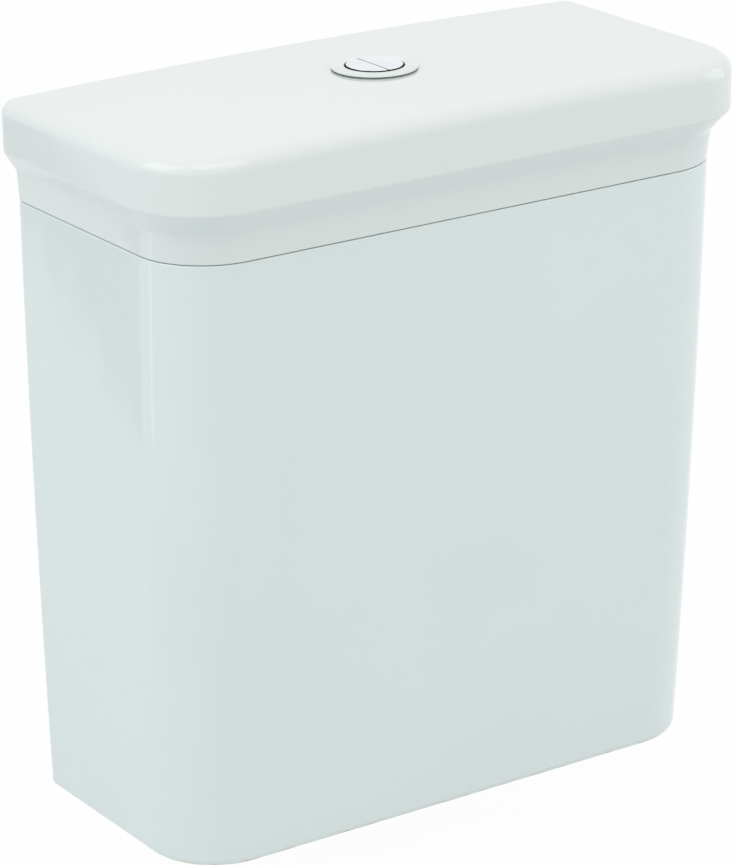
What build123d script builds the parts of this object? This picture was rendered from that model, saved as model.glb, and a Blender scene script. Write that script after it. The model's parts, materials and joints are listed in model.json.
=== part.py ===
from build123d import *
import os
from math import cos, pi, sin

# Close-coupled toilet cistern in vitreous china with a twin push button.
# Millimetres, +Z up, +X to the right of someone facing it, the front towards -Y.
# The origin is on the wall plane and the centre line, level with the tank's underside.

os.makedirs("parts", exist_ok=True)

# Tank
tank_height = 355.0
tank_base_width = 358.0
tank_rim_width = 370.0
tank_base_depth = 157.5
tank_rim_depth = 173.2
tank_side_bulge = 1.4
tank_front_bulge = 0.6
tank_wall = 9.0
tank_floor = 12.0
front_corner_radius = 42.0
back_corner_radius = 5.0
tank_bottom_round = 4.5
cavity_back_radius = 12.0
cavity_bottom_round = 8.0

# Places that the fittings share
wall_to_outlet = 81.0
inlet_side_clearance = 54.0
coupling_bolt_spacing = 150.0
wall_fixing_spacing = 230.0
wall_fixing_drop = 50.0
wall_fixing_radius = 4.0

# Lid
pad_thickness = 0.8
pad_radius = 3.2
pad_place_shares = (0.25, 0.7)
collar_height = 17.4
collar_flare = 1.1
collar_flare_front = 1.9
collar_bottom_round = 1.5
undercut_height = 12.4
side_overhang = 9.4
front_overhang = 9.8
slab_height = 29.4
slab_front_radius = 48.0
slab_back_radius = 9.0
slab_lower_round = 3.0
slab_top_round = 8.5
crown_height = 3.1
lid_top_thickness = 11.0
lid_hole_radius = 20.0
lug_length = 30.0
lug_thickness = 6.0
lug_drop = 7.0
lug_root_height = 12.0
lug_play = 2.0

# Push button
ring_radius = 24.3
ring_height = 2.4
ring_edge_round = 1.1
button_radius = 16.0
button_gap = 1.1
button_proud = 0.6
button_edge_round = 0.5
button_cap_thickness = 2.5
button_wall = 1.2
button_skirt_guide = 6.0
button_split_offset = 1.2
button_split_gap = 0.5
button_travel = 6.0
housing_wall = 1.6
housing_length = 42.0
housing_floor = 2.5
housing_flange_width = 3.0
housing_flange_thickness = 1.2
button_seal_thickness = 2.0
button_nut_height = 8.0
button_nut_width = 7.0
button_nut_grip = 2.5
push_rod_radius = 2.5
push_rod_offset = 8.5
push_rod_collar_radius = 4.2
push_rod_collar_height = 2.0
rod_socket_radius = 4.0
rod_socket_depth = 10.0
button_spring_radius = 5.0
button_spring_wire = 0.8
button_spring_turns = 6
arcs_per_turn = 4
arc_point_shares = (0.0, 0.5, 1.0)
gap_points_per_turn = 24

# Flush valve
outlet_hole_radius = 32.0
outlet_thread_radius = 29.5
outlet_spigot_radius = 27.0
outlet_bore_radius = 23.5
outlet_thread_length = 14.5
outlet_spigot_length = 9.5
base_flange_radius = 42.0
base_flange_thickness = 4.0
base_washer_thickness = 3.0
seat_height = 3.0
seat_width = 2.5
base_collar_height = 5.0
base_collar_wall = 2.6
back_nut_height = 8.5
back_nut_radius = 34.0
back_nut_lug_reach = 4.0
back_nut_lug_width = 9.0
back_nut_lug_count = 6
coupling_washer_wall = 6.5
cage_wall = 2.5
cage_drop = 100.0
cage_window_count = 4
cage_lower_window_width = 30.0
cage_lower_window_height = 45.0
cage_lower_window_rise = 15.0
cage_upper_window_width = 14.0
cage_top_band = 14.0
lift_tube_radius = 14.1
lift_tube_wall = 2.5
overflow_drop = 75.0
seal_radius = 30.0
seal_thickness = 2.5
seal_plate_thickness = 3.5
seal_hub_height = 8.0
seal_hub_wall = 4.0
seal_retainer_radius = 21.0
seal_retainer_height = 5.0
valve_float_radius = 31.0
valve_float_wall = 1.5
full_float_height = 45.0
half_float_height = 35.0
float_gap_shares = (0.26, 0.36)

# Levers that lift the flush valve
lever_drop = 55.0
lever_thickness = 4.0
lever_width = 8.0
lever_hub_radius = 5.0
lever_pin_radius = 2.0
lever_pivot_offset = 26.0
lever_inner_clear = 4.0
full_lever_outer_reach = 24.0
half_lever_outer_reach = 14.0
bridge_plate_thickness = 3.0
bridge_spigot_height = 4.0
bridge_spigot_wall = 2.0
cheek_thickness = 3.0
cheek_play = 0.3
cheek_length = 10.0
cheek_head = 6.0
post_web_thickness = 2.0
post_web_drop = 12.0
pin_head_length = 1.0
yoke_swing_room = 5.0
yoke_thickness = 3.0
yoke_opening_play = 1.3
yoke_bar_width = 6.0
yoke_lug_width = 8.0
yoke_leg_gap = 0.9
yoke_leg_thickness = 4.0
yoke_leg_width = 10.0
yoke_collar_height = 8.0
yoke_collar_drop = 18.0

# Fill valve
inlet_thread_radius = 10.4
inlet_thread_length = 12.0
inlet_tail_radius = 10.2
inlet_tail_length = 16.0
inlet_bore_radius = 5.0
inlet_hole_radius = 11.5
inlet_flange_radius = 17.0
inlet_flange_thickness = 4.0
inlet_washer_thickness = 2.5
inlet_nut_height = 8.0
inlet_nut_wall = 4.6
riser_outer_radius = 12.0
riser_drop = 50.0
riser_inner_radius = 9.4
riser_inner_bore = 6.0
riser_overlap = 50.0
riser_lock_height = 16.0
riser_lock_rise = 6.0
riser_lock_wall = 3.3
filter_length = 18.0
filter_wall = 0.8
filter_gap = 0.3
head_drop = 97.0
head_radius = 17.0
head_height = 34.0
head_chamber_radius = 13.0
head_chamber_depth = 14.0
head_socket_depth = 12.0
head_outlet_radius = 5.5
head_outlet_reach = 6.0
diaphragm_radius = 15.0
diaphragm_thickness = 2.0
head_cap_thickness = 5.0
arm_clearance = 0.5
arm_hub_radius = 4.5
arm_end = 4.0
float_offset = 39.0
float_radius = 20.0
float_height = 55.0
float_drop = 18.0
float_wall = 1.5
float_boss_height = 8.0
float_boss_radius = 4.5
float_guide_rise = 15.0
float_guide_height = 7.0
float_guide_wall = 3.3
float_web_width = 6.0
adjusting_screw_radius = 2.2
adjusting_knob_radius = 5.0
adjusting_knob_height = 6.0
adjusting_knob_rise = 14.0
refill_tube_radius = 5.0
refill_tube_wall = 1.4
refill_tube_run = 9.0
refill_bend_radius = 7.5
refill_tube_foot = 33.0

# Bolts that hold the cistern on the pan
bolt_radius = 4.0
bolt_neck_radius = 3.6
bolt_length_below = 36.0
bolt_head_radius = 8.0
bolt_head_height = 5.4
bolt_hole_play = 1.5
bolt_seal_radius = 14.0
bolt_seal_thickness = 4.0
bolt_washer_radius = 12.0
bolt_washer_thickness = 1.6
bolt_nut_radius = 7.5
bolt_nut_height = 6.5

# Clearances that pieces share
cut_overrun = 2.0
thread_gap = 0.05
running_gap = 0.05
slide_gap = 0.3
push_gap = 0.4
level_band = 0.01
hex_sides = 6

# Levels and places worked out from the sizes above
outlet_y = -wall_to_outlet
inlet_x = inlet_side_clearance - tank_base_width / 2
lid_bottom = tank_height + pad_thickness
collar_top = lid_bottom + collar_height
slab_bottom = collar_top + undercut_height
slab_edge_top = slab_bottom + slab_height
lid_crown = slab_edge_top + crown_height
lid_ceiling = slab_edge_top - lid_top_thickness
lid_collar_width = tank_rim_width + 2 * collar_flare
lid_collar_depth = tank_rim_depth + collar_flare_front
lid_width = lid_collar_width + 2 * side_overhang
lid_depth = lid_collar_depth + front_overhang
rim_inner_width = tank_rim_width - 2 * tank_wall
rim_inner_depth = tank_rim_depth - tank_wall

button_top = lid_crown + ring_height + button_proud
button_under = button_top - button_cap_thickness
button_skirt_height = button_skirt_guide + button_travel
housing_bore = button_radius + button_gap
housing_radius = housing_bore + housing_wall
housing_flange_radius = housing_radius + housing_flange_width
housing_bottom = lid_crown - housing_length
housing_floor_top = housing_bottom + housing_floor

base_flange_bottom = tank_floor + base_washer_thickness
base_flange_top = base_flange_bottom + base_flange_thickness
seat_top = base_flange_top + seat_height
thread_bottom = -outlet_thread_length
spigot_bottom = thread_bottom - outlet_spigot_length
cage_inner_radius = valve_float_radius + 2 * valve_float_wall
cage_radius = cage_inner_radius + cage_wall
overflow_top = tank_height - overflow_drop
lever_pivot_z = tank_height - lever_drop
cage_top = lever_pivot_z - cage_drop
bridge_top = cage_top + bridge_plate_thickness
hub_top = seat_top + seal_thickness + seal_plate_thickness + seal_hub_height
float_room = cage_top - bridge_spigot_height - hub_top - half_float_height - full_float_height
half_float_low = hub_top + float_gap_shares[0] * float_room
full_float_low = half_float_low + half_float_height + float_gap_shares[1] * float_room
lever_top = lever_pivot_z + lever_thickness / 2
rod_tip = lever_top + push_gap
cheek_inner = lever_width / 2 + cheek_play
cheek_outer = cheek_inner + cheek_thickness
yoke_bottom = lever_pivot_z + yoke_swing_room + button_travel
yoke_top = yoke_bottom + yoke_thickness
yoke_opening = cheek_outer + yoke_opening_play
yoke_leg_inner = lift_tube_radius + yoke_leg_gap
yoke_leg_outer = yoke_leg_inner + yoke_leg_thickness
yoke_collar_bottom = overflow_top - yoke_collar_drop
yoke_inner_end = lever_pivot_offset + full_lever_outer_reach - yoke_bar_width / 2
yoke_outer_end = yoke_inner_end + yoke_bar_width

inlet_flange_bottom = tank_floor + inlet_washer_thickness
inlet_flange_top = inlet_flange_bottom + inlet_flange_thickness
inlet_thread_bottom = -inlet_thread_length
inlet_tail_bottom = inlet_thread_bottom - inlet_tail_length
head_bottom = tank_height - head_drop
head_top = head_bottom + head_height
cap_bottom = head_top + diaphragm_thickness
cap_top = cap_bottom + head_cap_thickness
arm_pivot_z = cap_top + arm_hub_radius + arm_clearance
arm_under = arm_pivot_z - lever_thickness / 2
float_x = inlet_x + float_offset
float_top = head_bottom - float_drop
float_bottom = float_top - float_height
riser_outer_top = float_bottom + float_guide_rise - riser_drop

outlet_axis = Axis((0, outlet_y, 0), (0, 0, 1))
inlet_axis = Axis((inlet_x, outlet_y, 0), (0, 0, 1))
outlet_section = Plane((0, outlet_y, 0), x_dir=(1, 0, 0), z_dir=(0, -1, 0))
inlet_section = Plane((inlet_x, outlet_y, 0), x_dir=(1, 0, 0), z_dir=(0, -1, 0))
bolt_places = [(side * coupling_bolt_spacing / 2, outlet_y) for side in (-1, 1)]


def outlet_level(level):
    """Return the plane at a height, centred on the flush outlet's axis."""
    return Plane((0, outlet_y, level))


def inlet_level(level):
    """Return the plane at a height, centred on the fill valve's axis."""
    return Plane((inlet_x, outlet_y, level))


def tank_width_at(level):
    """Return the tank's outer width at a height above its underside."""
    share = level / tank_height
    swell = 4 * tank_side_bulge * share * (1 - share)
    return tank_base_width + (tank_rim_width - tank_base_width) * share + 2 * swell


def tank_depth_at(level):
    """Return the tank's outer depth, from the wall, at a height above its underside."""
    share = level / tank_height
    swell = 4 * tank_front_bulge * share * (1 - share)
    return tank_base_depth + (tank_rim_depth - tank_base_depth) * share + swell


def plan_outline(width, back, front, front_radius, back_radius=0):
    """Draw in the open sketch a plan with rounded corners, from one Y to another."""
    with Locations((0, (back + front) / 2)):
        Rectangle(width, back - front)
    fillet(vertices().group_by(Axis.Y)[0], front_radius)
    if back_radius > 0:
        fillet(vertices().group_by(Axis.Y)[-1], back_radius)


def ring_outline(outer, inner):
    """Draw a ring in the open sketch."""
    Circle(outer)
    Circle(inner, mode=Mode.SUBTRACT)


def band(inner, outer, low, high, mode=Mode.ADD):
    """Draw in the open sketch the half section of a round band, for a revolve."""
    with Locations(((inner + outer) / 2, (low + high) / 2)):
        Rectangle(outer - inner, high - low, mode=mode)


def half_disc(radius, side, split):
    """Draw the part of a disc beyond x = split, towards +X for side 1 and towards -X for side -1."""
    Circle(radius)
    with Locations((split - side * radius, 0)):
        Rectangle(2 * radius, 2 * radius, mode=Mode.SUBTRACT)


# Tank: a hollow casting, drawn in a little towards the base, its sides and front barely bulged, with a
# square foot under its back that brings the wall plane down to the underside
with BuildPart() as tank_cavity:
    for level in (tank_floor, tank_height / 2, tank_height + cut_overrun):
        with BuildSketch(Plane.XY.offset(level)):
            plan_outline(
                tank_width_at(level) - 2 * tank_wall,
                -tank_wall,
                tank_wall - tank_depth_at(level),
                front_corner_radius - tank_wall,
                cavity_back_radius,
            )
    loft()
    fillet(tank_cavity.faces().sort_by(Axis.Z)[0].edges(), cavity_bottom_round)

with BuildPart() as tank:
    for level in (0, tank_height / 2, tank_height):
        with BuildSketch(Plane.XY.offset(level)):
            plan_outline(tank_width_at(level), cut_overrun, -tank_depth_at(level), front_corner_radius)
    loft()
    split(bisect_by=Plane.XZ, keep=Keep.TOP)
    back_edges = tank.edges().group_by(Axis.Y)[-1].sort_by(Axis.X)
    fillet([back_edges[0], back_edges[-1]], back_corner_radius)
    fillet(tank.faces().sort_by(Axis.Z)[0].edges(), tank_bottom_round)
    with Locations((0, -tank_bottom_round / 2, tank_bottom_round / 2)):
        Box(tank_base_width - 2 * (back_corner_radius + tank_bottom_round), tank_bottom_round, tank_bottom_round)
    add(tank_cavity.part, mode=Mode.SUBTRACT)
    with Locations((0, outlet_y, tank_floor)):
        Hole(outlet_hole_radius, depth=tank_floor)
    with Locations((inlet_x, outlet_y, tank_floor)):
        Hole(inlet_hole_radius, depth=tank_floor)
    with Locations([(x, y, tank_floor) for x, y in bolt_places]):
        Hole(bolt_radius + bolt_hole_play, depth=tank_floor)
    for side in (-1, 1):
        fixing = (side * wall_fixing_spacing / 2, 0, tank_height - wall_fixing_drop)
        with Locations(Plane(fixing, z_dir=(0, 1, 0))):
            Hole(wall_fixing_radius, depth=tank_wall)
tank.part.label = "tank"
export_step(tank.part, "parts/tank.step")

# Lid: a collar as wide as the tank's rim, an undercut, and an overhanging slab with a crowned top
with BuildPart() as lid:
    for level, width, depth, radius in (
        (lid_bottom, tank_rim_width, tank_rim_depth, front_corner_radius),
        (collar_top, lid_collar_width, lid_collar_depth, front_corner_radius),
        (slab_bottom, lid_width, lid_depth, slab_front_radius),
    ):
        with BuildSketch(Plane.XY.offset(level)):
            plan_outline(width, cut_overrun, -depth, radius)
    loft(ruled=True)
    with BuildSketch(Plane.XY.offset(slab_bottom)):
        plan_outline(lid_width, cut_overrun, -lid_depth, slab_front_radius)
    extrude(amount=lid_crown + cut_overrun - slab_bottom)
    slab_edges = lid.edges().filter_by_position(Axis.Z, slab_bottom - level_band, slab_bottom + level_band)
    fillet(slab_edges.sort_by(Axis.Y)[:-1], slab_lower_round)
    split(bisect_by=Plane.XZ, keep=Keep.TOP)
    collar_edges = lid.edges().group_by(Axis.Y)[-1].filter_by_position(Axis.Z, lid_bottom, collar_top)
    fillet(collar_edges.sort_by(SortBy.LENGTH)[:2], back_corner_radius)
    with BuildSketch(Plane.XY.offset(lid_bottom)):
        plan_outline(lid_width, 0, -lid_depth - cut_overrun, slab_lower_round, slab_back_radius)
    extrude(amount=lid_crown + cut_overrun - lid_bottom, mode=Mode.INTERSECT)
    with BuildSketch(Plane.XZ.offset(-cut_overrun)):
        with BuildLine():
            crown = ThreePointArc((-lid_width / 2, slab_edge_top), (0, lid_crown), (lid_width / 2, slab_edge_top))
            Polyline(
                crown @ 1,
                (lid_width / 2, lid_crown + 2 * cut_overrun),
                (-lid_width / 2, lid_crown + 2 * cut_overrun),
                crown @ 0,
            )
        make_face()
    extrude(amount=lid_depth + 2 * cut_overrun, mode=Mode.SUBTRACT)
    fillet(lid.faces().sort_by(Axis.Z)[-1].edges(), slab_top_round)
    fillet(lid.faces().sort_by(Axis.Z)[0].edges(), collar_bottom_round)
    with BuildSketch(Plane.XY.offset(lid_bottom - cut_overrun)):
        plan_outline(
            rim_inner_width,
            -tank_wall,
            -rim_inner_depth,
            front_corner_radius - tank_wall,
            cavity_back_radius,
        )
    extrude(amount=lid_ceiling - lid_bottom + cut_overrun, mode=Mode.SUBTRACT)
    lug_places = [(side, share * tank_rim_depth) for side in (-1, 1) for share in pad_place_shares]
    with BuildSketch(Plane.XY.offset(lid_bottom - lug_drop)):
        lug_x = rim_inner_width / 2 - lug_play - lug_thickness / 2
        with Locations([(side * lug_x, -place) for side, place in lug_places]):
            Rectangle(lug_thickness, lug_length)
    extrude(amount=lug_drop + lug_root_height)
    with BuildSketch(Plane.XY.offset(lid_bottom + pad_thickness)):
        with Locations([(side * rim_inner_width / 2, -place) for side, place in lug_places]):
            Rectangle(2 * (lug_play + cut_overrun), lug_length)
    extrude(amount=lug_root_height - pad_thickness)
    with Locations((0, outlet_y, lid_crown)):
        Hole(lid_hole_radius, depth=lid_crown - lid_ceiling + cut_overrun)
lid.part.label = "lid"
export_step(lid.part, "parts/lid.step")

# Four soft pads on the rim keep the lid off the tank and leave the thin dark line between them
with BuildPart() as lid_pads:
    with BuildSketch(Plane.XY.offset(tank_height)):
        pad_x = (tank_rim_width - tank_wall) / 2
        with Locations([(side * pad_x, -share * tank_rim_depth) for side in (-1, 1) for share in pad_place_shares]):
            Circle(pad_radius)
    extrude(amount=pad_thickness)
lid_pads.part.label = "lid_pads"
export_step(lid_pads.part, "parts/lid_pads.step")

# Button surround: a plated ring clipped over the flange of a threaded housing
with BuildPart() as button_ring:
    with BuildSketch(outlet_section):
        band(housing_bore, ring_radius, lid_crown, lid_crown + ring_height)
        flange_top = lid_crown + housing_flange_thickness
        band(0, housing_flange_radius + thread_gap, lid_crown - cut_overrun, flange_top, Mode.SUBTRACT)
    revolve(axis=outlet_axis)
    fillet(button_ring.edges().group_by(Axis.Z)[-1].sort_by(SortBy.LENGTH)[-1], ring_edge_round)
button_ring.part.label = "button_ring"
export_step(button_ring.part, "parts/button_ring.step")

with BuildPart() as button_housing:
    with BuildSketch(outlet_section):
        band(housing_bore, housing_radius, housing_bottom, lid_crown + housing_flange_thickness)
        band(housing_bore, housing_flange_radius, lid_crown, lid_crown + housing_flange_thickness)
        band(0, housing_radius, housing_bottom, housing_floor_top)
    revolve(axis=outlet_axis)
    with Locations([(side * push_rod_offset, outlet_y, housing_floor_top) for side in (-1, 1)]):
        Hole(push_rod_radius + slide_gap, depth=housing_floor)
button_housing.part.label = "button_housing"
export_step(button_housing.part, "parts/button_housing.step")

# The nut that holds the housing, and the foam washer between it and the lid's underside
with BuildPart() as button_seal:
    with BuildSketch(outlet_level(lid_ceiling - button_seal_thickness)):
        ring_outline(housing_radius + button_nut_width, housing_radius + thread_gap)
    extrude(amount=button_seal_thickness)
button_seal.part.label = "button_seal"
export_step(button_seal.part, "parts/button_seal.step")

with BuildPart() as button_nut:
    with BuildSketch(outlet_level(lid_ceiling - button_seal_thickness - button_nut_height)):
        Circle(housing_radius + button_nut_width)
        with PolarLocations(housing_radius + button_nut_width, back_nut_lug_count):
            Circle(button_nut_grip)
        Circle(housing_radius + thread_gap, mode=Mode.SUBTRACT)
    extrude(amount=button_nut_height)
button_nut.part.label = "button_nut"
export_step(button_nut.part, "parts/button_nut.step")

# Two half-round buttons with a skirt and a rod socket each: the right one gives the full flush
for name, side in (("full_flush_button", 1), ("half_flush_button", -1)):
    split_face = side * button_split_gap / 2 - button_split_offset
    inner_split = split_face + side * button_wall
    with BuildPart() as button:
        with BuildSketch(outlet_level(button_under)):
            half_disc(button_radius, side, split_face)
        extrude(amount=button_cap_thickness)
        fillet(button.faces().sort_by(Axis.Z)[-1].edges(), button_edge_round)
        with BuildSketch(outlet_level(button_under)):
            half_disc(button_radius, side, split_face)
            with BuildSketch(mode=Mode.PRIVATE) as hollow:
                half_disc(button_radius - button_wall, side, inner_split)
            add(hollow.sketch, mode=Mode.SUBTRACT)
            with Locations((side * push_rod_offset, 0)):
                Circle(rod_socket_radius)
        extrude(amount=-button_skirt_height)
        with BuildSketch(outlet_level(button_under - button_skirt_height)):
            with Locations((side * push_rod_offset, 0)):
                Circle(push_rod_radius + thread_gap)
        extrude(amount=rod_socket_depth, mode=Mode.SUBTRACT)
    button.part.label = name
    export_step(button.part, f"parts/{name}.step")

# The rods screwed into the buttons: a collar under the housing's floor stops each from rising
for name, side in (("full_push_rod", 1), ("half_push_rod", -1)):
    rod_top = button_under - button_skirt_height + rod_socket_depth
    rod_collar_top = housing_bottom - slide_gap
    with BuildPart() as push_rod:
        with BuildSketch(outlet_level(rod_tip + push_rod_radius)):
            with Locations((side * push_rod_offset, 0)):
                Circle(push_rod_radius)
        extrude(amount=rod_top - rod_tip - push_rod_radius)
        with BuildSketch(outlet_level(rod_collar_top - push_rod_collar_height)):
            with Locations((side * push_rod_offset, 0)):
                Circle(push_rod_collar_radius)
        extrude(amount=push_rod_collar_height)
        with Locations((side * push_rod_offset, outlet_y, rod_tip + push_rod_radius)):
            Sphere(push_rod_radius)
    push_rod.part.label = name
    export_step(push_rod.part, f"parts/{name}.step")


def spring_point(share, centre_x, low, high):
    """Return the point at a share of the way up a button spring's wire."""
    turn = 2 * pi * button_spring_turns * share
    x = centre_x + button_spring_radius * cos(turn)
    y = outlet_y + button_spring_radius * sin(turn)
    return (x, y, low + (high - low) * share)


def least_self_gap(wire_path):
    """Return the least gap between the turns of a button spring, measured on points along its wire."""
    count = gap_points_per_turn * button_spring_turns
    points = [wire_path @ (step / count) for step in range(count + 1)]
    half_turn = gap_points_per_turn // 2
    spans = [(first, second) for first in range(count) for second in range(first + half_turn, count + 1)]
    return min((points[first] - points[second]).length for first, second in spans) - button_spring_wire


# A coil spring round each socket, between the housing's floor and the button, wound in quarter turns
for name, side in (("full_button_spring", 1), ("half_button_spring", -1)):
    arc_count = arcs_per_turn * button_spring_turns
    low = housing_floor_top + button_spring_wire / 2
    high = button_under - button_spring_wire / 2
    centre_x = side * push_rod_offset
    with BuildPart() as spring:
        with BuildLine() as wire_line:
            for arc in range(arc_count):
                shares = [(arc + share) / arc_count for share in arc_point_shares]
                ThreePointArc(*[spring_point(share, centre_x, low, high) for share in shares])
        with BuildSketch(Plane(wire_line.line @ 0, z_dir=wire_line.line % 0)):
            Circle(button_spring_wire / 2)
        sweep(path=wire_line.line)
    spring.part.label = name
    export_step(spring.part, f"parts/{name}.step")
    print(name, "least gap to itself, measured on points", least_self_gap(wire_line.line))

# Flush valve base: a flange in the tank, and a threaded tail through its floor with a plain spigot below
with BuildPart() as valve_tail:
    with BuildSketch(outlet_section):
        band(outlet_bore_radius, outlet_thread_radius, thread_bottom, base_flange_bottom)
        band(outlet_bore_radius, outlet_spigot_radius, spigot_bottom, thread_bottom)
    revolve(axis=outlet_axis)
valve_tail.part.label = "valve_tail"
export_step(valve_tail.part, "parts/valve_tail.step")

with BuildPart() as valve_base:
    with BuildSketch(outlet_section):
        band(outlet_bore_radius, base_flange_radius, base_flange_bottom, base_flange_top)
        band(outlet_bore_radius, outlet_bore_radius + seat_width, base_flange_top, seat_top)
        collar_outer = cage_inner_radius - thread_gap
        collar_inner = collar_outer - base_collar_wall
        band(collar_inner, collar_outer, base_flange_top, base_flange_top + base_collar_height)
    revolve(axis=outlet_axis)
valve_base.part.label = "valve_base"
export_step(valve_base.part, "parts/valve_base.step")

with BuildPart() as valve_base_washer:
    with BuildSketch(outlet_level(tank_floor)):
        ring_outline(base_flange_radius, outlet_thread_radius + thread_gap)
    extrude(amount=base_washer_thickness)
valve_base_washer.part.label = "valve_base_washer"
export_step(valve_base_washer.part, "parts/valve_base_washer.step")

with BuildPart() as valve_back_nut:
    with BuildSketch(outlet_level(-back_nut_height)):
        Circle(back_nut_radius)
        with PolarLocations(back_nut_radius, back_nut_lug_count):
            Rectangle(2 * back_nut_lug_reach, back_nut_lug_width)
        Circle(outlet_thread_radius + thread_gap, mode=Mode.SUBTRACT)
    extrude(amount=back_nut_height)
valve_back_nut.part.label = "valve_back_nut"
export_step(valve_back_nut.part, "parts/valve_back_nut.step")

# The foam washer that seals the cistern to the pan: it slips over the back nut
with BuildPart() as coupling_washer:
    nut_reach = back_nut_radius + back_nut_lug_reach + slide_gap
    with BuildSketch(outlet_section):
        band(outlet_thread_radius + slide_gap, nut_reach + coupling_washer_wall, thread_bottom, 0)
        band(0, nut_reach, -back_nut_height - slide_gap, 0, Mode.SUBTRACT)
    revolve(axis=outlet_axis)
coupling_washer.part.label = "coupling_washer"
export_step(coupling_washer.part, "parts/coupling_washer.step")

# Cage round the flush valve, with two rows of windows
with BuildPart() as valve_cage:
    with BuildSketch(outlet_level(base_flange_top)):
        ring_outline(cage_radius, cage_inner_radius)
    extrude(amount=cage_top - base_flange_top)
    lower_window = base_flange_top + cage_lower_window_rise
    with BuildSketch(outlet_level(lower_window)):
        with PolarLocations(cage_radius, cage_window_count, start_angle=180 / cage_window_count):
            Rectangle(4 * cage_wall, cage_lower_window_width)
    extrude(amount=cage_lower_window_height, mode=Mode.SUBTRACT)
    upper_window = lower_window + cage_lower_window_height + cage_lower_window_rise
    with BuildSketch(outlet_level(upper_window)):
        with PolarLocations(cage_radius, cage_window_count):
            Rectangle(4 * cage_wall, cage_upper_window_width)
    extrude(amount=cage_top - cage_top_band - upper_window, mode=Mode.SUBTRACT)
valve_cage.part.label = "valve_cage"
export_step(valve_cage.part, "parts/valve_cage.step")

# Bridge on the cage: a plate that guides the lift tube, and two forked posts for the levers
with BuildPart() as bridge_plate:
    guide_radius = lift_tube_radius + slide_gap
    with BuildSketch(outlet_level(cage_top)):
        ring_outline(cage_radius, guide_radius)
    extrude(amount=bridge_plate_thickness)
    with BuildSketch(outlet_level(cage_top)):
        spigot_radius = cage_inner_radius - thread_gap
        ring_outline(spigot_radius, spigot_radius - bridge_spigot_wall)
    extrude(amount=-bridge_spigot_height)
bridge_plate.part.label = "bridge_plate"
export_step(bridge_plate.part, "parts/bridge_plate.step")

with BuildPart() as lever_posts:
    with BuildSketch(outlet_level(bridge_top)):
        cheek_y = (cheek_inner + cheek_outer) / 2
        with Locations([(x * lever_pivot_offset, y * cheek_y) for x in (-1, 1) for y in (-1, 1)]):
            Rectangle(cheek_length, cheek_thickness)
    extrude(amount=lever_pivot_z + cheek_head - bridge_top)
    with BuildSketch(outlet_level(bridge_top)):
        web_x = lever_pivot_offset + (cheek_length - post_web_thickness) / 2
        with Locations([(side * web_x, 0) for side in (-1, 1)]):
            Rectangle(post_web_thickness, 2 * cheek_outer)
    extrude(amount=lever_pivot_z - post_web_drop - bridge_top)
    for side in (-1, 1):
        bore = Plane((side * lever_pivot_offset, outlet_y + cheek_outer, lever_pivot_z), z_dir=(0, 1, 0))
        with Locations(bore):
            Hole(lever_pin_radius + thread_gap, depth=2 * cheek_outer)
lever_posts.part.label = "lever_posts"
export_step(lever_posts.part, "parts/lever_posts.step")

with BuildPart() as lever_pins:
    for side in (-1, 1):
        start = Plane((side * lever_pivot_offset, outlet_y - cheek_outer, lever_pivot_z), z_dir=(0, 1, 0))
        with BuildSketch(start):
            Circle(lever_pin_radius)
        extrude(amount=2 * cheek_outer + pin_head_length)
        with BuildSketch(start.offset(2 * cheek_outer)):
            Circle(lever_pin_radius + pin_head_length)
        extrude(amount=pin_head_length)
lever_pins.part.label = "lever_pins"
export_step(lever_pins.part, "parts/lever_pins.step")

# Levers: a push rod presses the inner arm, and the full-flush lever's outer arm lifts the yoke
for name, side, outer_reach in (
    ("full_flush_lever", 1, full_lever_outer_reach),
    ("half_flush_lever", -1, half_lever_outer_reach),
):
    inner_reach = lever_pivot_offset - lever_inner_clear
    with BuildPart() as lever:
        with BuildSketch(outlet_section.offset(-lever_width / 2)):
            with Locations((side * (lever_pivot_offset + (outer_reach - inner_reach) / 2), lever_pivot_z)):
                Rectangle(outer_reach + inner_reach, lever_thickness)
            with Locations((side * lever_pivot_offset, lever_pivot_z)):
                Circle(lever_hub_radius)
                Circle(lever_pin_radius + running_gap, mode=Mode.SUBTRACT)
        extrude(amount=lever_width)
    lever.part.label = name
    export_step(lever.part, f"parts/{name}.step")

# Yoke: a collar on the lift tube with two legs, and a frame whose lug rests over the full-flush lever
with BuildPart() as yoke_collar:
    with BuildSketch(outlet_level(yoke_collar_bottom)):
        ring_outline(yoke_leg_outer, lift_tube_radius + thread_gap)
    extrude(amount=yoke_collar_height)
    with BuildSketch(outlet_level(yoke_collar_bottom)):
        with Locations([(0, side * (yoke_leg_inner + yoke_leg_outer) / 2) for side in (-1, 1)]):
            Rectangle(yoke_leg_width, yoke_leg_thickness)
    extrude(amount=yoke_bottom - yoke_collar_bottom)
yoke_collar.part.label = "yoke_collar"
export_step(yoke_collar.part, "parts/yoke_collar.step")

with BuildPart() as yoke_frame:
    with BuildSketch(outlet_level(yoke_bottom)):
        Rectangle(2 * yoke_outer_end, 2 * yoke_leg_outer)
        Rectangle(2 * yoke_inner_end, 2 * yoke_opening, mode=Mode.SUBTRACT)
    extrude(amount=yoke_thickness)
    with BuildSketch(outlet_level(rod_tip)):
        with Locations(((yoke_inner_end + yoke_outer_end) / 2, 0)):
            Rectangle(yoke_bar_width, yoke_lug_width)
    extrude(amount=yoke_bottom - rod_tip)
yoke_frame.part.label = "yoke_frame"
export_step(yoke_frame.part, "parts/yoke_frame.step")

# Lift tube, which is also the overflow, with its seal, seal plate and retainer
with BuildPart() as lift_tube:
    with BuildSketch(outlet_level(seat_top - seal_retainer_height)):
        ring_outline(lift_tube_radius, lift_tube_radius - lift_tube_wall)
    extrude(amount=overflow_top - seat_top + seal_retainer_height)
lift_tube.part.label = "lift_tube"
export_step(lift_tube.part, "parts/lift_tube.step")

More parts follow.
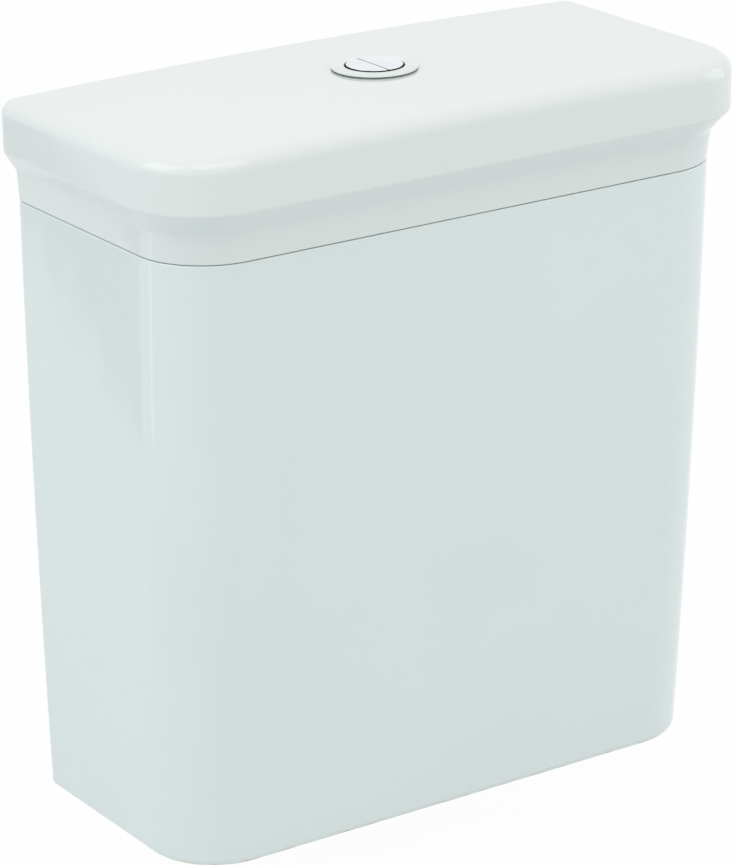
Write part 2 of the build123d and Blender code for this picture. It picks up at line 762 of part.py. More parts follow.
with BuildPart() as main_seal:
    with BuildSketch(outlet_level(seat_top)):
        ring_outline(seal_radius, lift_tube_radius + thread_gap)
    extrude(amount=seal_thickness)
main_seal.part.label = "main_seal"
export_step(main_seal.part, "parts/main_seal.step")

with BuildPart() as seal_plate:
    with BuildSketch(outlet_level(seat_top + seal_thickness)):
        ring_outline(seal_radius, lift_tube_radius + thread_gap)
    extrude(amount=seal_plate_thickness)
    with BuildSketch(outlet_level(seat_top + seal_thickness + seal_plate_thickness)):
        ring_outline(lift_tube_radius + seal_hub_wall, lift_tube_radius + thread_gap)
    extrude(amount=seal_hub_height)
seal_plate.part.label = "seal_plate"
export_step(seal_plate.part, "parts/seal_plate.step")

with BuildPart() as seal_retainer:
    with BuildSketch(outlet_level(seat_top - seal_retainer_height)):
        ring_outline(seal_retainer_radius, lift_tube_radius + thread_gap)
    extrude(amount=seal_retainer_height)
seal_retainer.part.label = "seal_retainer"
export_step(seal_retainer.part, "parts/seal_retainer.step")

# Two floats on the lift tube, open below: the upper holds a full flush, the lower cuts a half one
for name, low, height in (
    ("full_flush_float", full_float_low, full_float_height),
    ("half_flush_float", half_float_low, half_float_height),
):
    high = low + height
    hub_radius = lift_tube_radius + slide_gap
    with BuildPart() as valve_float:
        with BuildSketch(outlet_section):
            band(valve_float_radius - valve_float_wall, valve_float_radius, low, high)
            band(hub_radius, hub_radius + valve_float_wall, low, high)
            band(hub_radius, valve_float_radius, high - valve_float_wall, high)
        revolve(axis=outlet_axis)
    valve_float.part.label = name
    export_step(valve_float.part, f"parts/{name}.step")

# Fill valve: a threaded shank through the tank's floor carries an outer riser
with BuildPart() as inlet_shank:
    riser_bore = riser_inner_radius + thread_gap
    with BuildSketch(inlet_section):
        band(inlet_bore_radius, inlet_tail_radius, inlet_tail_bottom, inlet_thread_bottom)
        band(inlet_bore_radius, inlet_thread_radius, inlet_thread_bottom, inlet_flange_bottom)
        band(inlet_bore_radius, inlet_flange_radius, inlet_flange_bottom, inlet_flange_top)
        band(riser_bore, riser_outer_radius, inlet_flange_top, riser_outer_top)
    revolve(axis=inlet_axis)
inlet_shank.part.label = "inlet_shank"
export_step(inlet_shank.part, "parts/inlet_shank.step")

with BuildPart() as inlet_washer:
    with BuildSketch(inlet_level(tank_floor)):
        ring_outline(inlet_flange_radius, inlet_thread_radius + thread_gap)
    extrude(amount=inlet_washer_thickness)
inlet_washer.part.label = "inlet_washer"
export_step(inlet_washer.part, "parts/inlet_washer.step")

with BuildPart() as inlet_back_nut:
    with BuildSketch(inlet_level(-inlet_nut_height)):
        RegularPolygon(inlet_thread_radius + inlet_nut_wall, hex_sides, major_radius=False)
        Circle(inlet_thread_radius + thread_gap, mode=Mode.SUBTRACT)
    extrude(amount=inlet_nut_height)
inlet_back_nut.part.label = "inlet_back_nut"
export_step(inlet_back_nut.part, "parts/inlet_back_nut.step")

with BuildPart() as inlet_filter:
    filter_radius = inlet_bore_radius - filter_gap
    with BuildSketch(inlet_section):
        filter_top = inlet_tail_bottom + filter_length
        band(filter_radius - filter_wall, filter_radius, inlet_tail_bottom, filter_top)
        band(0, filter_radius, filter_top - filter_wall, filter_top)
    revolve(axis=inlet_axis)
inlet_filter.part.label = "inlet_filter"
export_step(inlet_filter.part, "parts/inlet_filter.step")

with BuildPart() as inner_riser:
    with BuildSketch(inlet_level(riser_outer_top - riser_overlap)):
        ring_outline(riser_inner_radius, riser_inner_bore)
    extrude(amount=head_bottom + head_socket_depth - riser_outer_top + riser_overlap)
inner_riser.part.label = "inner_riser"
export_step(inner_riser.part, "parts/inner_riser.step")

with BuildPart() as riser_lock_ring:
    lock_bottom = riser_outer_top + riser_lock_rise - riser_lock_height
    with BuildSketch(inlet_section):
        lock_radius = riser_outer_radius + riser_lock_wall
        band(riser_inner_radius + slide_gap, lock_radius, lock_bottom, lock_bottom + riser_lock_height)
        band(0, riser_outer_radius + thread_gap, lock_bottom, riser_outer_top + thread_gap, Mode.SUBTRACT)
    revolve(axis=inlet_axis)
riser_lock_ring.part.label = "riser_lock_ring"
export_step(riser_lock_ring.part, "parts/riser_lock_ring.step")

# Valve head with its chamber, and the outlet that feeds the refill tube
with BuildPart() as valve_head:
    with BuildSketch(inlet_section):
        band(0, head_radius, head_bottom, head_top)
        band(0, riser_inner_radius + thread_gap, head_bottom, head_bottom + head_socket_depth, Mode.SUBTRACT)
        band(0, head_chamber_radius, head_top - head_chamber_depth, head_top, Mode.SUBTRACT)
        band(0, inlet_bore_radius, head_bottom + head_socket_depth, head_top, Mode.SUBTRACT)
    revolve(axis=inlet_axis)
    outlet_z = head_top - head_chamber_depth + head_outlet_radius
    outlet_end = outlet_y - head_radius - head_outlet_reach
    outlet_run = head_radius + head_outlet_reach - head_chamber_radius
    outlet_mouth = Plane((inlet_x, outlet_end, outlet_z), z_dir=(0, -1, 0))
    with BuildSketch(outlet_mouth.offset(-outlet_run)):
        Circle(head_outlet_radius)
    extrude(amount=outlet_run)
    with Locations(outlet_mouth):
        Hole(refill_tube_radius - refill_tube_wall, depth=outlet_run + cut_overrun)
valve_head.part.label = "valve_head"
export_step(valve_head.part, "parts/valve_head.step")

with BuildPart() as valve_diaphragm:
    with BuildSketch(inlet_level(head_top)):
        Circle(diaphragm_radius)
    extrude(amount=diaphragm_thickness)
valve_diaphragm.part.label = "valve_diaphragm"
export_step(valve_diaphragm.part, "parts/valve_diaphragm.step")

with BuildPart() as valve_head_cap:
    with BuildSketch(inlet_level(cap_bottom)):
        Circle(head_radius)
    extrude(amount=head_cap_thickness)
    with BuildSketch(inlet_level(cap_top)):
        with Locations([(0, side * cheek_y) for side in (-1, 1)]):
            Rectangle(cheek_length, cheek_thickness)
    extrude(amount=arm_pivot_z + arm_hub_radius - cap_top)
    with Locations(Plane((inlet_x, outlet_y + cheek_outer, arm_pivot_z), z_dir=(0, 1, 0))):
        Hole(lever_pin_radius + thread_gap, depth=2 * cheek_outer)
valve_head_cap.part.label = "valve_head_cap"
export_step(valve_head_cap.part, "parts/valve_head_cap.step")

with BuildPart() as float_arm_pin:
    start = Plane((inlet_x, outlet_y - cheek_outer, arm_pivot_z), z_dir=(0, 1, 0))
    with BuildSketch(start):
        Circle(lever_pin_radius)
    extrude(amount=2 * cheek_outer + pin_head_length)
    with BuildSketch(start.offset(2 * cheek_outer)):
        Circle(lever_pin_radius + pin_head_length)
    extrude(amount=pin_head_length)
float_arm_pin.part.label = "float_arm_pin"
export_step(float_arm_pin.part, "parts/float_arm_pin.step")

# The arm that the rising float lifts
with BuildPart() as float_arm:
    arm_reach = float_offset + arm_end
    with BuildSketch(inlet_section.offset(-lever_width / 2)):
        with Locations((arm_reach / 2, arm_pivot_z)):
            Rectangle(arm_reach, lever_thickness)
        with Locations((0, arm_pivot_z)):
            Circle(arm_hub_radius)
            Circle(lever_pin_radius + running_gap, mode=Mode.SUBTRACT)
    extrude(amount=lever_width)
float_arm.part.label = "float_arm"
export_step(float_arm.part, "parts/float_arm.step")

# Float cup, open below, with a ring that slides on the riser
with BuildPart() as float_cup:
    with BuildSketch(inlet_level(float_bottom + float_guide_rise)):
        Circle(riser_inner_radius + slide_gap + float_guide_wall)
        with Locations((float_offset / 2, 0)):
            Rectangle(float_offset, float_web_width)
        Circle(riser_inner_radius + slide_gap, mode=Mode.SUBTRACT)
    extrude(amount=float_guide_height)
    with BuildSketch(Plane((float_x, outlet_y, float_bottom))):
        Circle(float_radius)
    extrude(amount=float_height)
    with BuildSketch(Plane((float_x, outlet_y, float_bottom))):
        Circle(float_radius - float_wall)
    extrude(amount=float_height - float_wall, mode=Mode.SUBTRACT)
    with BuildSketch(Plane((float_x, outlet_y, float_top))):
        ring_outline(float_boss_radius, adjusting_screw_radius + thread_gap)
    extrude(amount=float_boss_height)
float_cup.part.label = "float_cup"
export_step(float_cup.part, "parts/float_cup.step")

with BuildPart() as adjusting_screw:
    screw_tip = arm_under - push_gap - adjusting_screw_radius
    with BuildSketch(Plane((float_x, outlet_y, float_top))):
        Circle(adjusting_screw_radius)
    extrude(amount=screw_tip - float_top)
    with Locations((float_x, outlet_y, screw_tip)):
        Sphere(adjusting_screw_radius)
    with BuildSketch(Plane((float_x, outlet_y, float_top + float_boss_height + adjusting_knob_rise))):
        Circle(adjusting_knob_radius)
    extrude(amount=adjusting_knob_height)
adjusting_screw.part.label = "adjusting_screw"
export_step(adjusting_screw.part, "parts/adjusting_screw.step")

# Refill tube: from the head's outlet it turns down and ends low in the tank, for a quiet fill
with BuildPart() as refill_tube:
    tube_y = outlet_end - refill_tube_run
    tube_foot = tank_floor + refill_tube_foot
    with BuildLine() as tube_line:
        FilletPolyline(
            (inlet_x, outlet_end, outlet_z),
            (inlet_x, tube_y, outlet_z),
            (inlet_x, tube_y, tube_foot),
            radius=refill_bend_radius,
        )
    with BuildSketch(outlet_mouth):
        ring_outline(refill_tube_radius, refill_tube_radius - refill_tube_wall)
    sweep(path=tube_line.line)
refill_tube.part.label = "refill_tube"
export_step(refill_tube.part, "parts/refill_tube.step")

# Two bolts through the floor, each with a rubber seal and washers, held by a nut under the tank; the neck has
# the thread's mean radius, and so has the nut's bore
with BuildPart() as coupling_bolts:
    bolt_seat = tank_floor + bolt_seal_thickness + bolt_washer_thickness
    nut_bottom = -bolt_washer_thickness - bolt_nut_height
    with BuildSketch(Plane.XY.offset(bolt_seat)):
        with Locations(bolt_places):
            Circle(bolt_neck_radius)
    extrude(amount=nut_bottom - bolt_seat)
    with BuildSketch(Plane.XY.offset(nut_bottom)):
        with Locations(bolt_places):
            Circle(bolt_radius)
    extrude(amount=-bolt_length_below - nut_bottom)
    with BuildSketch(Plane.XY.offset(bolt_seat)):
        with Locations(bolt_places):
            Circle(bolt_head_radius)
    extrude(amount=bolt_head_height)
coupling_bolts.part.label = "coupling_bolts"
export_step(coupling_bolts.part, "parts/coupling_bolts.step")

with BuildPart() as bolt_seals:
    with BuildSketch(Plane.XY.offset(tank_floor)):
        with Locations(bolt_places):
            ring_outline(bolt_seal_radius, bolt_radius + thread_gap)
    extrude(amount=bolt_seal_thickness)
bolt_seals.part.label = "bolt_seals"
export_step(bolt_seals.part, "parts/bolt_seals.step")

with BuildPart() as bolt_washers:
    for level in (tank_floor + bolt_seal_thickness, -bolt_washer_thickness):
        with BuildSketch(Plane.XY.offset(level)):
            with Locations(bolt_places):
                ring_outline(bolt_washer_radius, bolt_radius + thread_gap)
        extrude(amount=bolt_washer_thickness)
bolt_washers.part.label = "bolt_washers"
export_step(bolt_washers.part, "parts/bolt_washers.step")

with BuildPart() as bolt_nuts:
    with BuildSketch(Plane.XY.offset(nut_bottom)):
        with Locations(bolt_places):
            RegularPolygon(bolt_nut_radius, hex_sides)
            Circle(bolt_neck_radius + thread_gap, mode=Mode.SUBTRACT)
    extrude(amount=bolt_nut_height)
bolt_nuts.part.label = "bolt_nuts"
export_step(bolt_nuts.part, "parts/bolt_nuts.step")

# How far each moving piece goes for a full press of its button or a full rise of the float
rod_arm = lever_pivot_offset - push_rod_offset
print("lever turn per mm of press", 1 / rod_arm, "over a press of", button_travel)
print("levels", {"crown": lid_crown, "button top": button_top, "lever pivot": lever_pivot_z})
print("yoke", {"lug x": (yoke_inner_end, yoke_outer_end), "bar z": (yoke_bottom, yoke_top)})
print("float arm", {"pivot z": arm_pivot_z, "turn per mm of rise": 1 / float_offset})
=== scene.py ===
import json
import logging
from dataclasses import astuple, dataclass
from enum import Enum
from math import cos, hypot, pi, radians, sin

import bmesh
import bpy
from mathutils import Matrix, Vector
from mathutils.geometry import interpolate_bezier


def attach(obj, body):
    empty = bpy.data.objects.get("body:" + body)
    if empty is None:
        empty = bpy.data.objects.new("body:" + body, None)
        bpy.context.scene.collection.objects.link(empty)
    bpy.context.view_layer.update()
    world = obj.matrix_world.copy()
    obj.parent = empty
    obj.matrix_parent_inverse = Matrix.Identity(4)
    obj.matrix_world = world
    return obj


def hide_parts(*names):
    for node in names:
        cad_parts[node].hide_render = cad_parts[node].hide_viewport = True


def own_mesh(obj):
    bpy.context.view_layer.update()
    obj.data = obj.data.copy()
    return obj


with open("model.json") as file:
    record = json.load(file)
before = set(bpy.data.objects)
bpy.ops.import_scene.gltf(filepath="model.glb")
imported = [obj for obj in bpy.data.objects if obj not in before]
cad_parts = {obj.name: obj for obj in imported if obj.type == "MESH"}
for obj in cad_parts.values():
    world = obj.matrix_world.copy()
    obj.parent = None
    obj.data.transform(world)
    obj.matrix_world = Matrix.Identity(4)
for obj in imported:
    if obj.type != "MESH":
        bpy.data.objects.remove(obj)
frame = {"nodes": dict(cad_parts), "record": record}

# A close-coupled toilet cistern: tank and lid in glazed china, a twin push button, and the fittings.
# Shapes are worked in millimetres and become metres when a piece is finished.
MM = 0.001
MERGE = 0.005
AXIS_REACH = 0.001
OVERSHOOT = 3.0
LAP = 0.05
# Sides of a full round, from the smallest bore to the widest ring.
LEAST, SMALL, PLAIN, WIDE, SMOOTH, FINE, FINEST = 32, 40, 48, 64, 72, 96, 128

log = logging.getLogger("cistern")
Shape = bmesh.types.BMesh
Edge = bmesh.types.BMEdge
Material = bpy.types.Material
Object = bpy.types.Object
Socket = bpy.types.NodeSocket
Tree = bpy.types.NodeTree
Spot = tuple[float, float]
Place = tuple[float, float, float]
Span = tuple[float, float]

# Upright axes, seen from above: the outlet under the push button, the inlet, and the bolts.
OUTLET = (0.0, -81.0)
INLET = (-125.0, -81.0)
LEFT_BOLT = (-75.0, -81.0)
RIGHT_BOLT = (75.0, -81.0)


class Joining(Enum):
    """How a tool shape meets the shape it works on."""

    UNITE = "UNION"
    CUT = "DIFFERENCE"
    TRIM = "INTERSECT"


def linear(colour: str) -> tuple[float, float, float, float]:
    """Turn an sRGB hex colour into the linear values of a shader socket.

    Args:
        colour: Six hex digits, such as E9EDEC.

    Returns:
        Red, green, blue and a full alpha.
    """
    shares = [int(colour[place:place + 2], 16) / 255 for place in (0, 2, 4)]
    red, green, blue = (s / 12.92 if s <= 0.04045 else ((s + 0.055) / 1.055) ** 2.4 for s in shares)
    return red, green, blue, 1.0


def per_metre(size: float) -> float:
    """Return the pattern scale that gives features of a size in millimetres."""
    return 1 / (size * MM)


def add_node(tree: Tree, kind: str, inputs: dict | None = None, **settings) -> bpy.types.Node:
    """Add a node with its settings and its input values or links.

    Args:
        tree: The node tree that gets the node.
        kind: The node's type name.
        inputs: By input name or number, a value or the output to link.
        settings: Attributes of the node itself.

    Returns:
        The new node.
    """
    node = tree.nodes.new(kind)
    for name, value in settings.items():
        setattr(node, name, value)
    for name, value in (inputs or {}).items():
        if isinstance(value, Socket):
            tree.links.new(value, node.inputs[name])
        else:
            node.inputs[name].default_value = value
    return node


def empty_tree(holder: Material | bpy.types.World) -> Tree:
    """Empty the node tree of a material or a world.

    Args:
        holder: The material or the world.

    Returns:
        Its node tree.
    """
    holder.use_nodes = True
    holder.node_tree.nodes.clear()
    return holder.node_tree


def link_object(name: str, data: bpy.types.ID) -> Object:
    """Put a mesh, lamp or camera into the scene.

    Args:
        name: The object's name.
        data: What the object holds.

    Returns:
        The object.
    """
    made = bpy.data.objects.new(name, data)
    bpy.context.collection.objects.link(made)
    return made


def add_object(name: str, shape: Shape, coats: list[Material]) -> Object:
    """Turn a shape into an object of the scene.

    Args:
        name: The object's name.
        shape: Its shape, used up here.
        coats: Its materials, by the index that its faces carry.

    Returns:
        The object.
    """
    mesh = bpy.data.meshes.new(name)
    shape.to_mesh(mesh)
    shape.free()
    for coat in coats:
        mesh.materials.append(coat)
    return link_object(name, mesh)


def soften(shape: Shape, chosen: list, radius: float, steps: int = 4, affect: str = "VERTICES") -> None:
    """Round off corners or edges.

    Args:
        shape: The shape they belong to.
        chosen: The corners or edges.
        radius: Where the rounding starts.
        steps: Into how many parts it is divided.
        affect: VERTICES for corners of a flat outline, EDGES for edges.
    """
    bmesh.ops.bevel(
        shape, geom=chosen, offset=radius, offset_type="OFFSET", segments=steps, profile=0.5,
        affect=affect, material=-1,
    )


def edges_of(verts: list) -> list[Edge]:
    """Return every edge that meets the given corners."""
    return list({edge for vert in verts for edge in vert.link_edges})


def fill_holes(shape: Shape) -> None:
    """Close every open rim of a shape with a face."""
    bmesh.ops.holes_fill(shape, edges=[edge for edge in shape.edges if edge.is_boundary], sides=0)


def slice_off(shape: Shape, spot: Place, way: Place) -> None:
    """Cut away what lies past a plane.

    Args:
        shape: The shape to cut.
        spot: A point of the plane.
        way: The direction that is cut away.
    """
    everything = [*shape.verts, *shape.edges, *shape.faces]
    bmesh.ops.bisect_plane(shape, geom=everything, plane_co=spot, plane_no=way, clear_outer=True)


# Shapes


@dataclass(frozen=True)
class Plan:
    """A plan with a straight back and rounded corners, seen from above, in millimetres."""

    half_width: float
    front: float
    front_radius: float
    back: float = 0.0
    back_radius: float = 5.0

    def inset(self, amount: float, with_back: bool = True) -> "Plan":
        """Draw the plan in all round, or everywhere but at its back.

        Args:
            amount: How far the outline moves inwards.
            with_back: Whether the back moves too.

        Returns:
            The smaller plan.
        """
        least = 0.4
        return Plan(
            self.half_width - amount,
            self.front + amount,
            max(self.front_radius - amount, least),
            self.back - amount if with_back else self.back,
            max(self.back_radius - amount, least),
        )

    def towards(self, other: "Plan", share: float) -> "Plan":
        """Return the plan that lies a share of the way to another one.

        Args:
            other: The plan at a share of 1.
            share: How far to go.

        Returns:
            The plan in between.
        """
        pairs = zip(astuple(self), astuple(other))
        return Plan(*(mine + (theirs - mine) * share for mine, theirs in pairs))

    def holds(self, spot: Vector) -> bool:
        """Tell whether a point, seen from above, lies inside the plan.

        Args:
            spot: The point.

        Returns:
            True where it lies inside.
        """
        at_front = spot.y < (self.back + self.front) / 2
        radius = self.front_radius if at_front else self.back_radius
        across = max(abs(spot.x) - (self.half_width - radius), 0.0)
        along = max(self.front + radius - spot.y if at_front else spot.y - (self.back - radius), 0.0)
        return hypot(across, along) < radius

    def lay(self, shape: Shape, level: float) -> bmesh.types.BMFace:
        """Lay the plan flat at a level, its corners rounded.

        Args:
            shape: The shape that gets the face.
            level: Its height.

        Returns:
            The new face.
        """
        known = set(shape.faces)
        depth = self.back - self.front
        corners = bmesh.ops.create_grid(shape, x_segments=1, y_segments=1, size=0.5)["verts"]
        bmesh.ops.scale(shape, vec=(2 * self.half_width, depth, 1), verts=corners)
        bmesh.ops.translate(shape, vec=(0, self.back - depth / 2, level), verts=corners)
        back_corners = [corner for corner in corners if corner.co.y > self.back - depth / 2]
        front_corners = [corner for corner in corners if corner not in back_corners]
        front_steps, back_steps = 18, 5
        soften(shape, front_corners, self.front_radius, front_steps)
        soften(shape, back_corners, self.back_radius, back_steps)
        return next(face for face in shape.faces if face not in known)


def quarter_round(radius: float, steps: int = 6) -> list[tuple[float, float]]:
    """Follow a rounded edge from its side to its top.

    Args:
        radius: The edge's radius.
        steps: Into how many parts the round is divided.

    Returns:
        How far the edge has drawn in and how far it has risen, step by step.
    """
    turns = [radians(90) * step / steps for step in range(steps + 1)]
    return [(radius * (1 - cos(turn)), radius * sin(turn)) for turn in turns]


def loft(shape: Shape, sections: list[tuple[Plan, float]]) -> None:
    """Join plans into one closed skin, from the first to the last.

    Args:
        shape: The shape that gets the skin.
        sections: Each plan with its level.
    """
    faces = [plan.lay(shape, level) for plan, level in sections]
    loops = [list(face.edges) for face in faces]
    bmesh.ops.delete(shape, geom=faces[1:-1], context="FACES_ONLY")
    for first, second in zip(loops, loops[1:]):
        bmesh.ops.bridge_loops(shape, edges=first + second)


def turn(shape: Shape, corners: list[Place], centre: Spot, steps: int = SMOOTH) -> Shape:
    """Spin a closed section round an upright axis.

    Args:
        shape: The shape that gets the turned body.
        corners: The section's corners: reach from the axis, level, and where its rounding starts.
        centre: The axis, seen from above.
        steps: Steps of the full turn.

    Returns:
        The shape.
    """
    known = set(shape.faces)
    verts = [shape.verts.new((centre[0] + reach, centre[1], level)) for reach, level, _ in corners]
    shape.faces.new(verts)
    for vert, (_, _, start) in zip(verts, corners):
        if start > 0:
            soften(shape, [vert], start)
    section = next(face for face in shape.faces if face not in known)
    edges = [e for e in section.edges if max(v.co.x for v in e.verts) > centre[0] + AXIS_REACH]
    verts = list({vert for edge in edges for vert in edge.verts})
    bmesh.ops.delete(shape, geom=[section], context="FACES_ONLY")
    bmesh.ops.spin(
        shape, geom=verts + edges, cent=(*centre, 0), axis=(0, 0, 1), angle=2 * pi, steps=steps,
        use_merge=True,
    )
    loose = [edge for edge in shape.edges if not edge.link_faces]
    bmesh.ops.delete(shape, geom=loose, context="EDGES")
    bmesh.ops.remove_doubles(shape, verts=shape.verts, dist=MERGE)
    return shape


def rod(shape: Shape, radius: float, low: float, high: float, centre: Spot, sides: int = PLAIN) -> Shape:
    """Add a closed upright rod, as a tool or as the start of a piece.

    Args:
        shape: The shape that gets the rod.
        radius: Its radius.
        low: The level of its foot.
        high: The level of its top.
        centre: Its axis, seen from above.
        sides: How many sides its outline has.

    Returns:
        The shape.
    """
    place = Matrix.Translation((*centre, (low + high) / 2))
    bmesh.ops.create_cone(
        shape, cap_ends=True, segments=sides, radius1=radius, radius2=radius, depth=high - low, matrix=place,
    )
    return shape


def block(low: Place, high: Place, edge: float = 0.0) -> Shape:
    """Shape a block, its edges softened where a radius is given.

    Args:
        low: Its lowest corner.
        high: Its highest corner.
        edge: The radius of its edges.

    Returns:
        The block.
    """
    shape = bmesh.new()
    made = bmesh.ops.create_cube(shape, size=1)["verts"]
    bmesh.ops.scale(shape, vec=Vector(high) - Vector(low), verts=made)
    bmesh.ops.translate(shape, vec=(Vector(low) + Vector(high)) / 2, verts=made)
    if edge > 0:
        soften(shape, edges_of(made), edge, 3, "EDGES")
    return shape


def ring_edges(shape: Shape, radius: float, level: float, centre: Spot, sides: int) -> list[Edge]:
    """Lay an open circle.

    Args:
        shape: The shape that gets the circle.
        radius: Its radius.
        level: Its height.
        centre: Its middle, seen from above.
        sides: How many edges it has.

    Returns:
        Its edges.
    """
    place = Matrix.Translation((*centre, level))
    return edges_of(bmesh.ops.create_circle(shape, segments=sides, radius=radius, matrix=place)["verts"])


def thread(
    crest: float, root: float, pitch: float, ends: Span, centre: Spot, bore: float, steps: int,
) -> Shape:
    """Wind a ridge into a closed threaded rod or sleeve.

    Args:
        crest: The thread's outer radius.
        root: The radius between its ridges.
        pitch: The rise of one turn.
        ends: The levels of its foot and its top.
        centre: Its axis, seen from above.
        bore: The radius of the hole through it, or 0 for a rod.
        steps: Steps in one turn.

    Returns:
        The threaded rod or sleeve.
    """
    shape = bmesh.new()
    low, high = ends
    start = low - 1.5 * pitch
    ridge = ((root, 0.0), (root, 0.12), (crest, 0.44), (crest, 0.56), (root, 0.88), (root, 1.0))
    verts = [
        shape.verts.new((centre[0] + reach, centre[1], start + share * pitch)) for reach, share in ridge
    ]
    edges = [shape.edges.new(pair) for pair in zip(verts, verts[1:])]
    bmesh.ops.spin(
        shape, geom=verts + edges, cent=(*centre, 0), axis=(0, 0, 1), dvec=(0, 0, pitch / steps),
        angle=2 * pi, steps=steps,
    )
    one_turn = [*shape.verts, *shape.edges, *shape.faces]
    for number in range(1, int((high - low) / pitch) + 3):
        copied = bmesh.ops.duplicate(shape, geom=one_turn)["geom"]
        moved = [element for element in copied if isinstance(element, bmesh.types.BMVert)]
        bmesh.ops.translate(shape, vec=(0, 0, pitch * number), verts=moved)
    bmesh.ops.remove_doubles(shape, verts=shape.verts, dist=MERGE)
    slice_off(shape, (0, 0, low), (0, 0, -1))
    slice_off(shape, (0, 0, high), (0, 0, 1))
    if bore == 0:
        fill_holes(shape)
        return shape
    rims = [edge for edge in shape.edges if edge.is_boundary]
    middle = (low + high) / 2
    inner = []
    for level in ends:
        rim = [edge for edge in rims if (edge.verts[0].co.z > middle) == (level > middle)]
        circle = ring_edges(shape, bore, level, centre, steps)
        bmesh.ops.bridge_loops(shape, edges=rim + circle)
        inner.extend(circle)
    bmesh.ops.bridge_loops(shape, edges=inner)
    return shape


def combine(shape: Shape, tool: Shape, how: Joining) -> Shape:
    """Work on a closed shape with a closed tool, and use both up.

    Args:
        shape: The shape to work on.
        tool: The shape that is added, cut out or kept in common.
        how: Which of these.

    Returns:
        The result.
    """
    helpers = []
    for source in (shape, tool):
        bmesh.ops.recalc_face_normals(source, faces=source.faces)
        helpers.append(add_object("helper", source, []))
    worked = helpers[0].modifiers.new("joining", "BOOLEAN")
    worked.operation = how.value
    worked.solver = "EXACT"
    worked.object = helpers[1]
    seen = helpers[0].evaluated_get(bpy.context.evaluated_depsgraph_get())
    outcome = bmesh.new()
    outcome.from_mesh(seen.to_mesh())
    seen.to_mesh_clear()
    for helper in helpers:
        mesh = helper.data
        bpy.data.objects.remove(helper)
        bpy.data.meshes.remove(mesh)
    return outcome


def drill(
    shape: Shape, radius: float, low: float, high: float, spots: tuple[Spot, ...], sides: int,
) -> Shape:
    """Drill upright holes into a closed shape.

    Args:
        shape: The shape, used up here.
        radius: The radius of each hole.
        low: Where they start.
        high: Where they end.
        spots: Their axes, seen from above.
        sides: How many sides their outline has.

    Returns:
        The shape with its holes.
    """
    tool = bmesh.new()
    for spot in spots:
        rod(tool, radius, low, high, spot, sides)
    return combine(shape, tool, Joining.CUT)


def join(shape: Shape, other: Shape) -> None:
    """Put another shape into this one as it is, and use it up.

    Args:
        shape: The shape that grows.
        other: The shape that goes into it.
    """
    mesh = bpy.data.meshes.new("helper")
    other.to_mesh(mesh)
    other.free()
    shape.from_mesh(mesh)
    bpy.data.meshes.remove(mesh)


def chamfer_foot(shape: Shape, radius: float, level: float, centre: Spot) -> None:
    """Draw in the foot of a threaded rod to a short cone.

    Args:
        shape: The rod.
        radius: The cone's radius at the foot.
        level: The level of the foot.
        centre: The rod's axis, seen from above.
    """
    for vert in shape.verts:
        away = vert.co.xy - Vector(centre)
        most = radius + vert.co.z - level
        if away.length > most:
            vert.co.xy = Vector(centre) + away.normalized() * most


def finish_piece(
    name: str, shape: Shape, body: str, coats: list[Material],
    stands_for: tuple[str, ...] = (), crease: float = 32.0,
) -> Object:
    """Turn a shape into a piece of the scene that rides on a body.

    Args:
        name: The piece's name.
        shape: Its shape in millimetres, used up here.
        body: The body that it moves with.
        coats: Its materials, by the index that its faces carry.
        stands_for: The solids that it replaces.
        crease: The angle in degrees past which an edge stays sharp.

    Returns:
        The piece.
    """
    bmesh.ops.recalc_face_normals(shape, faces=shape.faces)
    bmesh.ops.scale(shape, vec=(MM, MM, MM), verts=shape.verts)
    piece = add_object(name, shape, coats)
    piece.data.shade_smooth()
    piece.data.set_sharp_from_angle(angle=radians(crease))
    evened = piece.modifiers.new("even_shading", "WEIGHTED_NORMAL")
    evened.keep_sharp = True
    evened.weight = 100
    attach(piece, body)
    if stands_for:
        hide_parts(*stands_for)
    log.info("%s on %s: %d faces", name, body, len(piece.data.polygons))
    return piece


# Finishes


@dataclass(frozen=True)
class Grain:
    """A soft random pattern: its size in millimetres, its finer layers, and how each axis is drawn out."""

    size: float
    detail: float = 2.0
    drawn: Place | None = None


Relief = tuple[tuple[Grain, float], ...]
Colours = tuple[str, str]
Constants = tuple[tuple[str, float], ...]


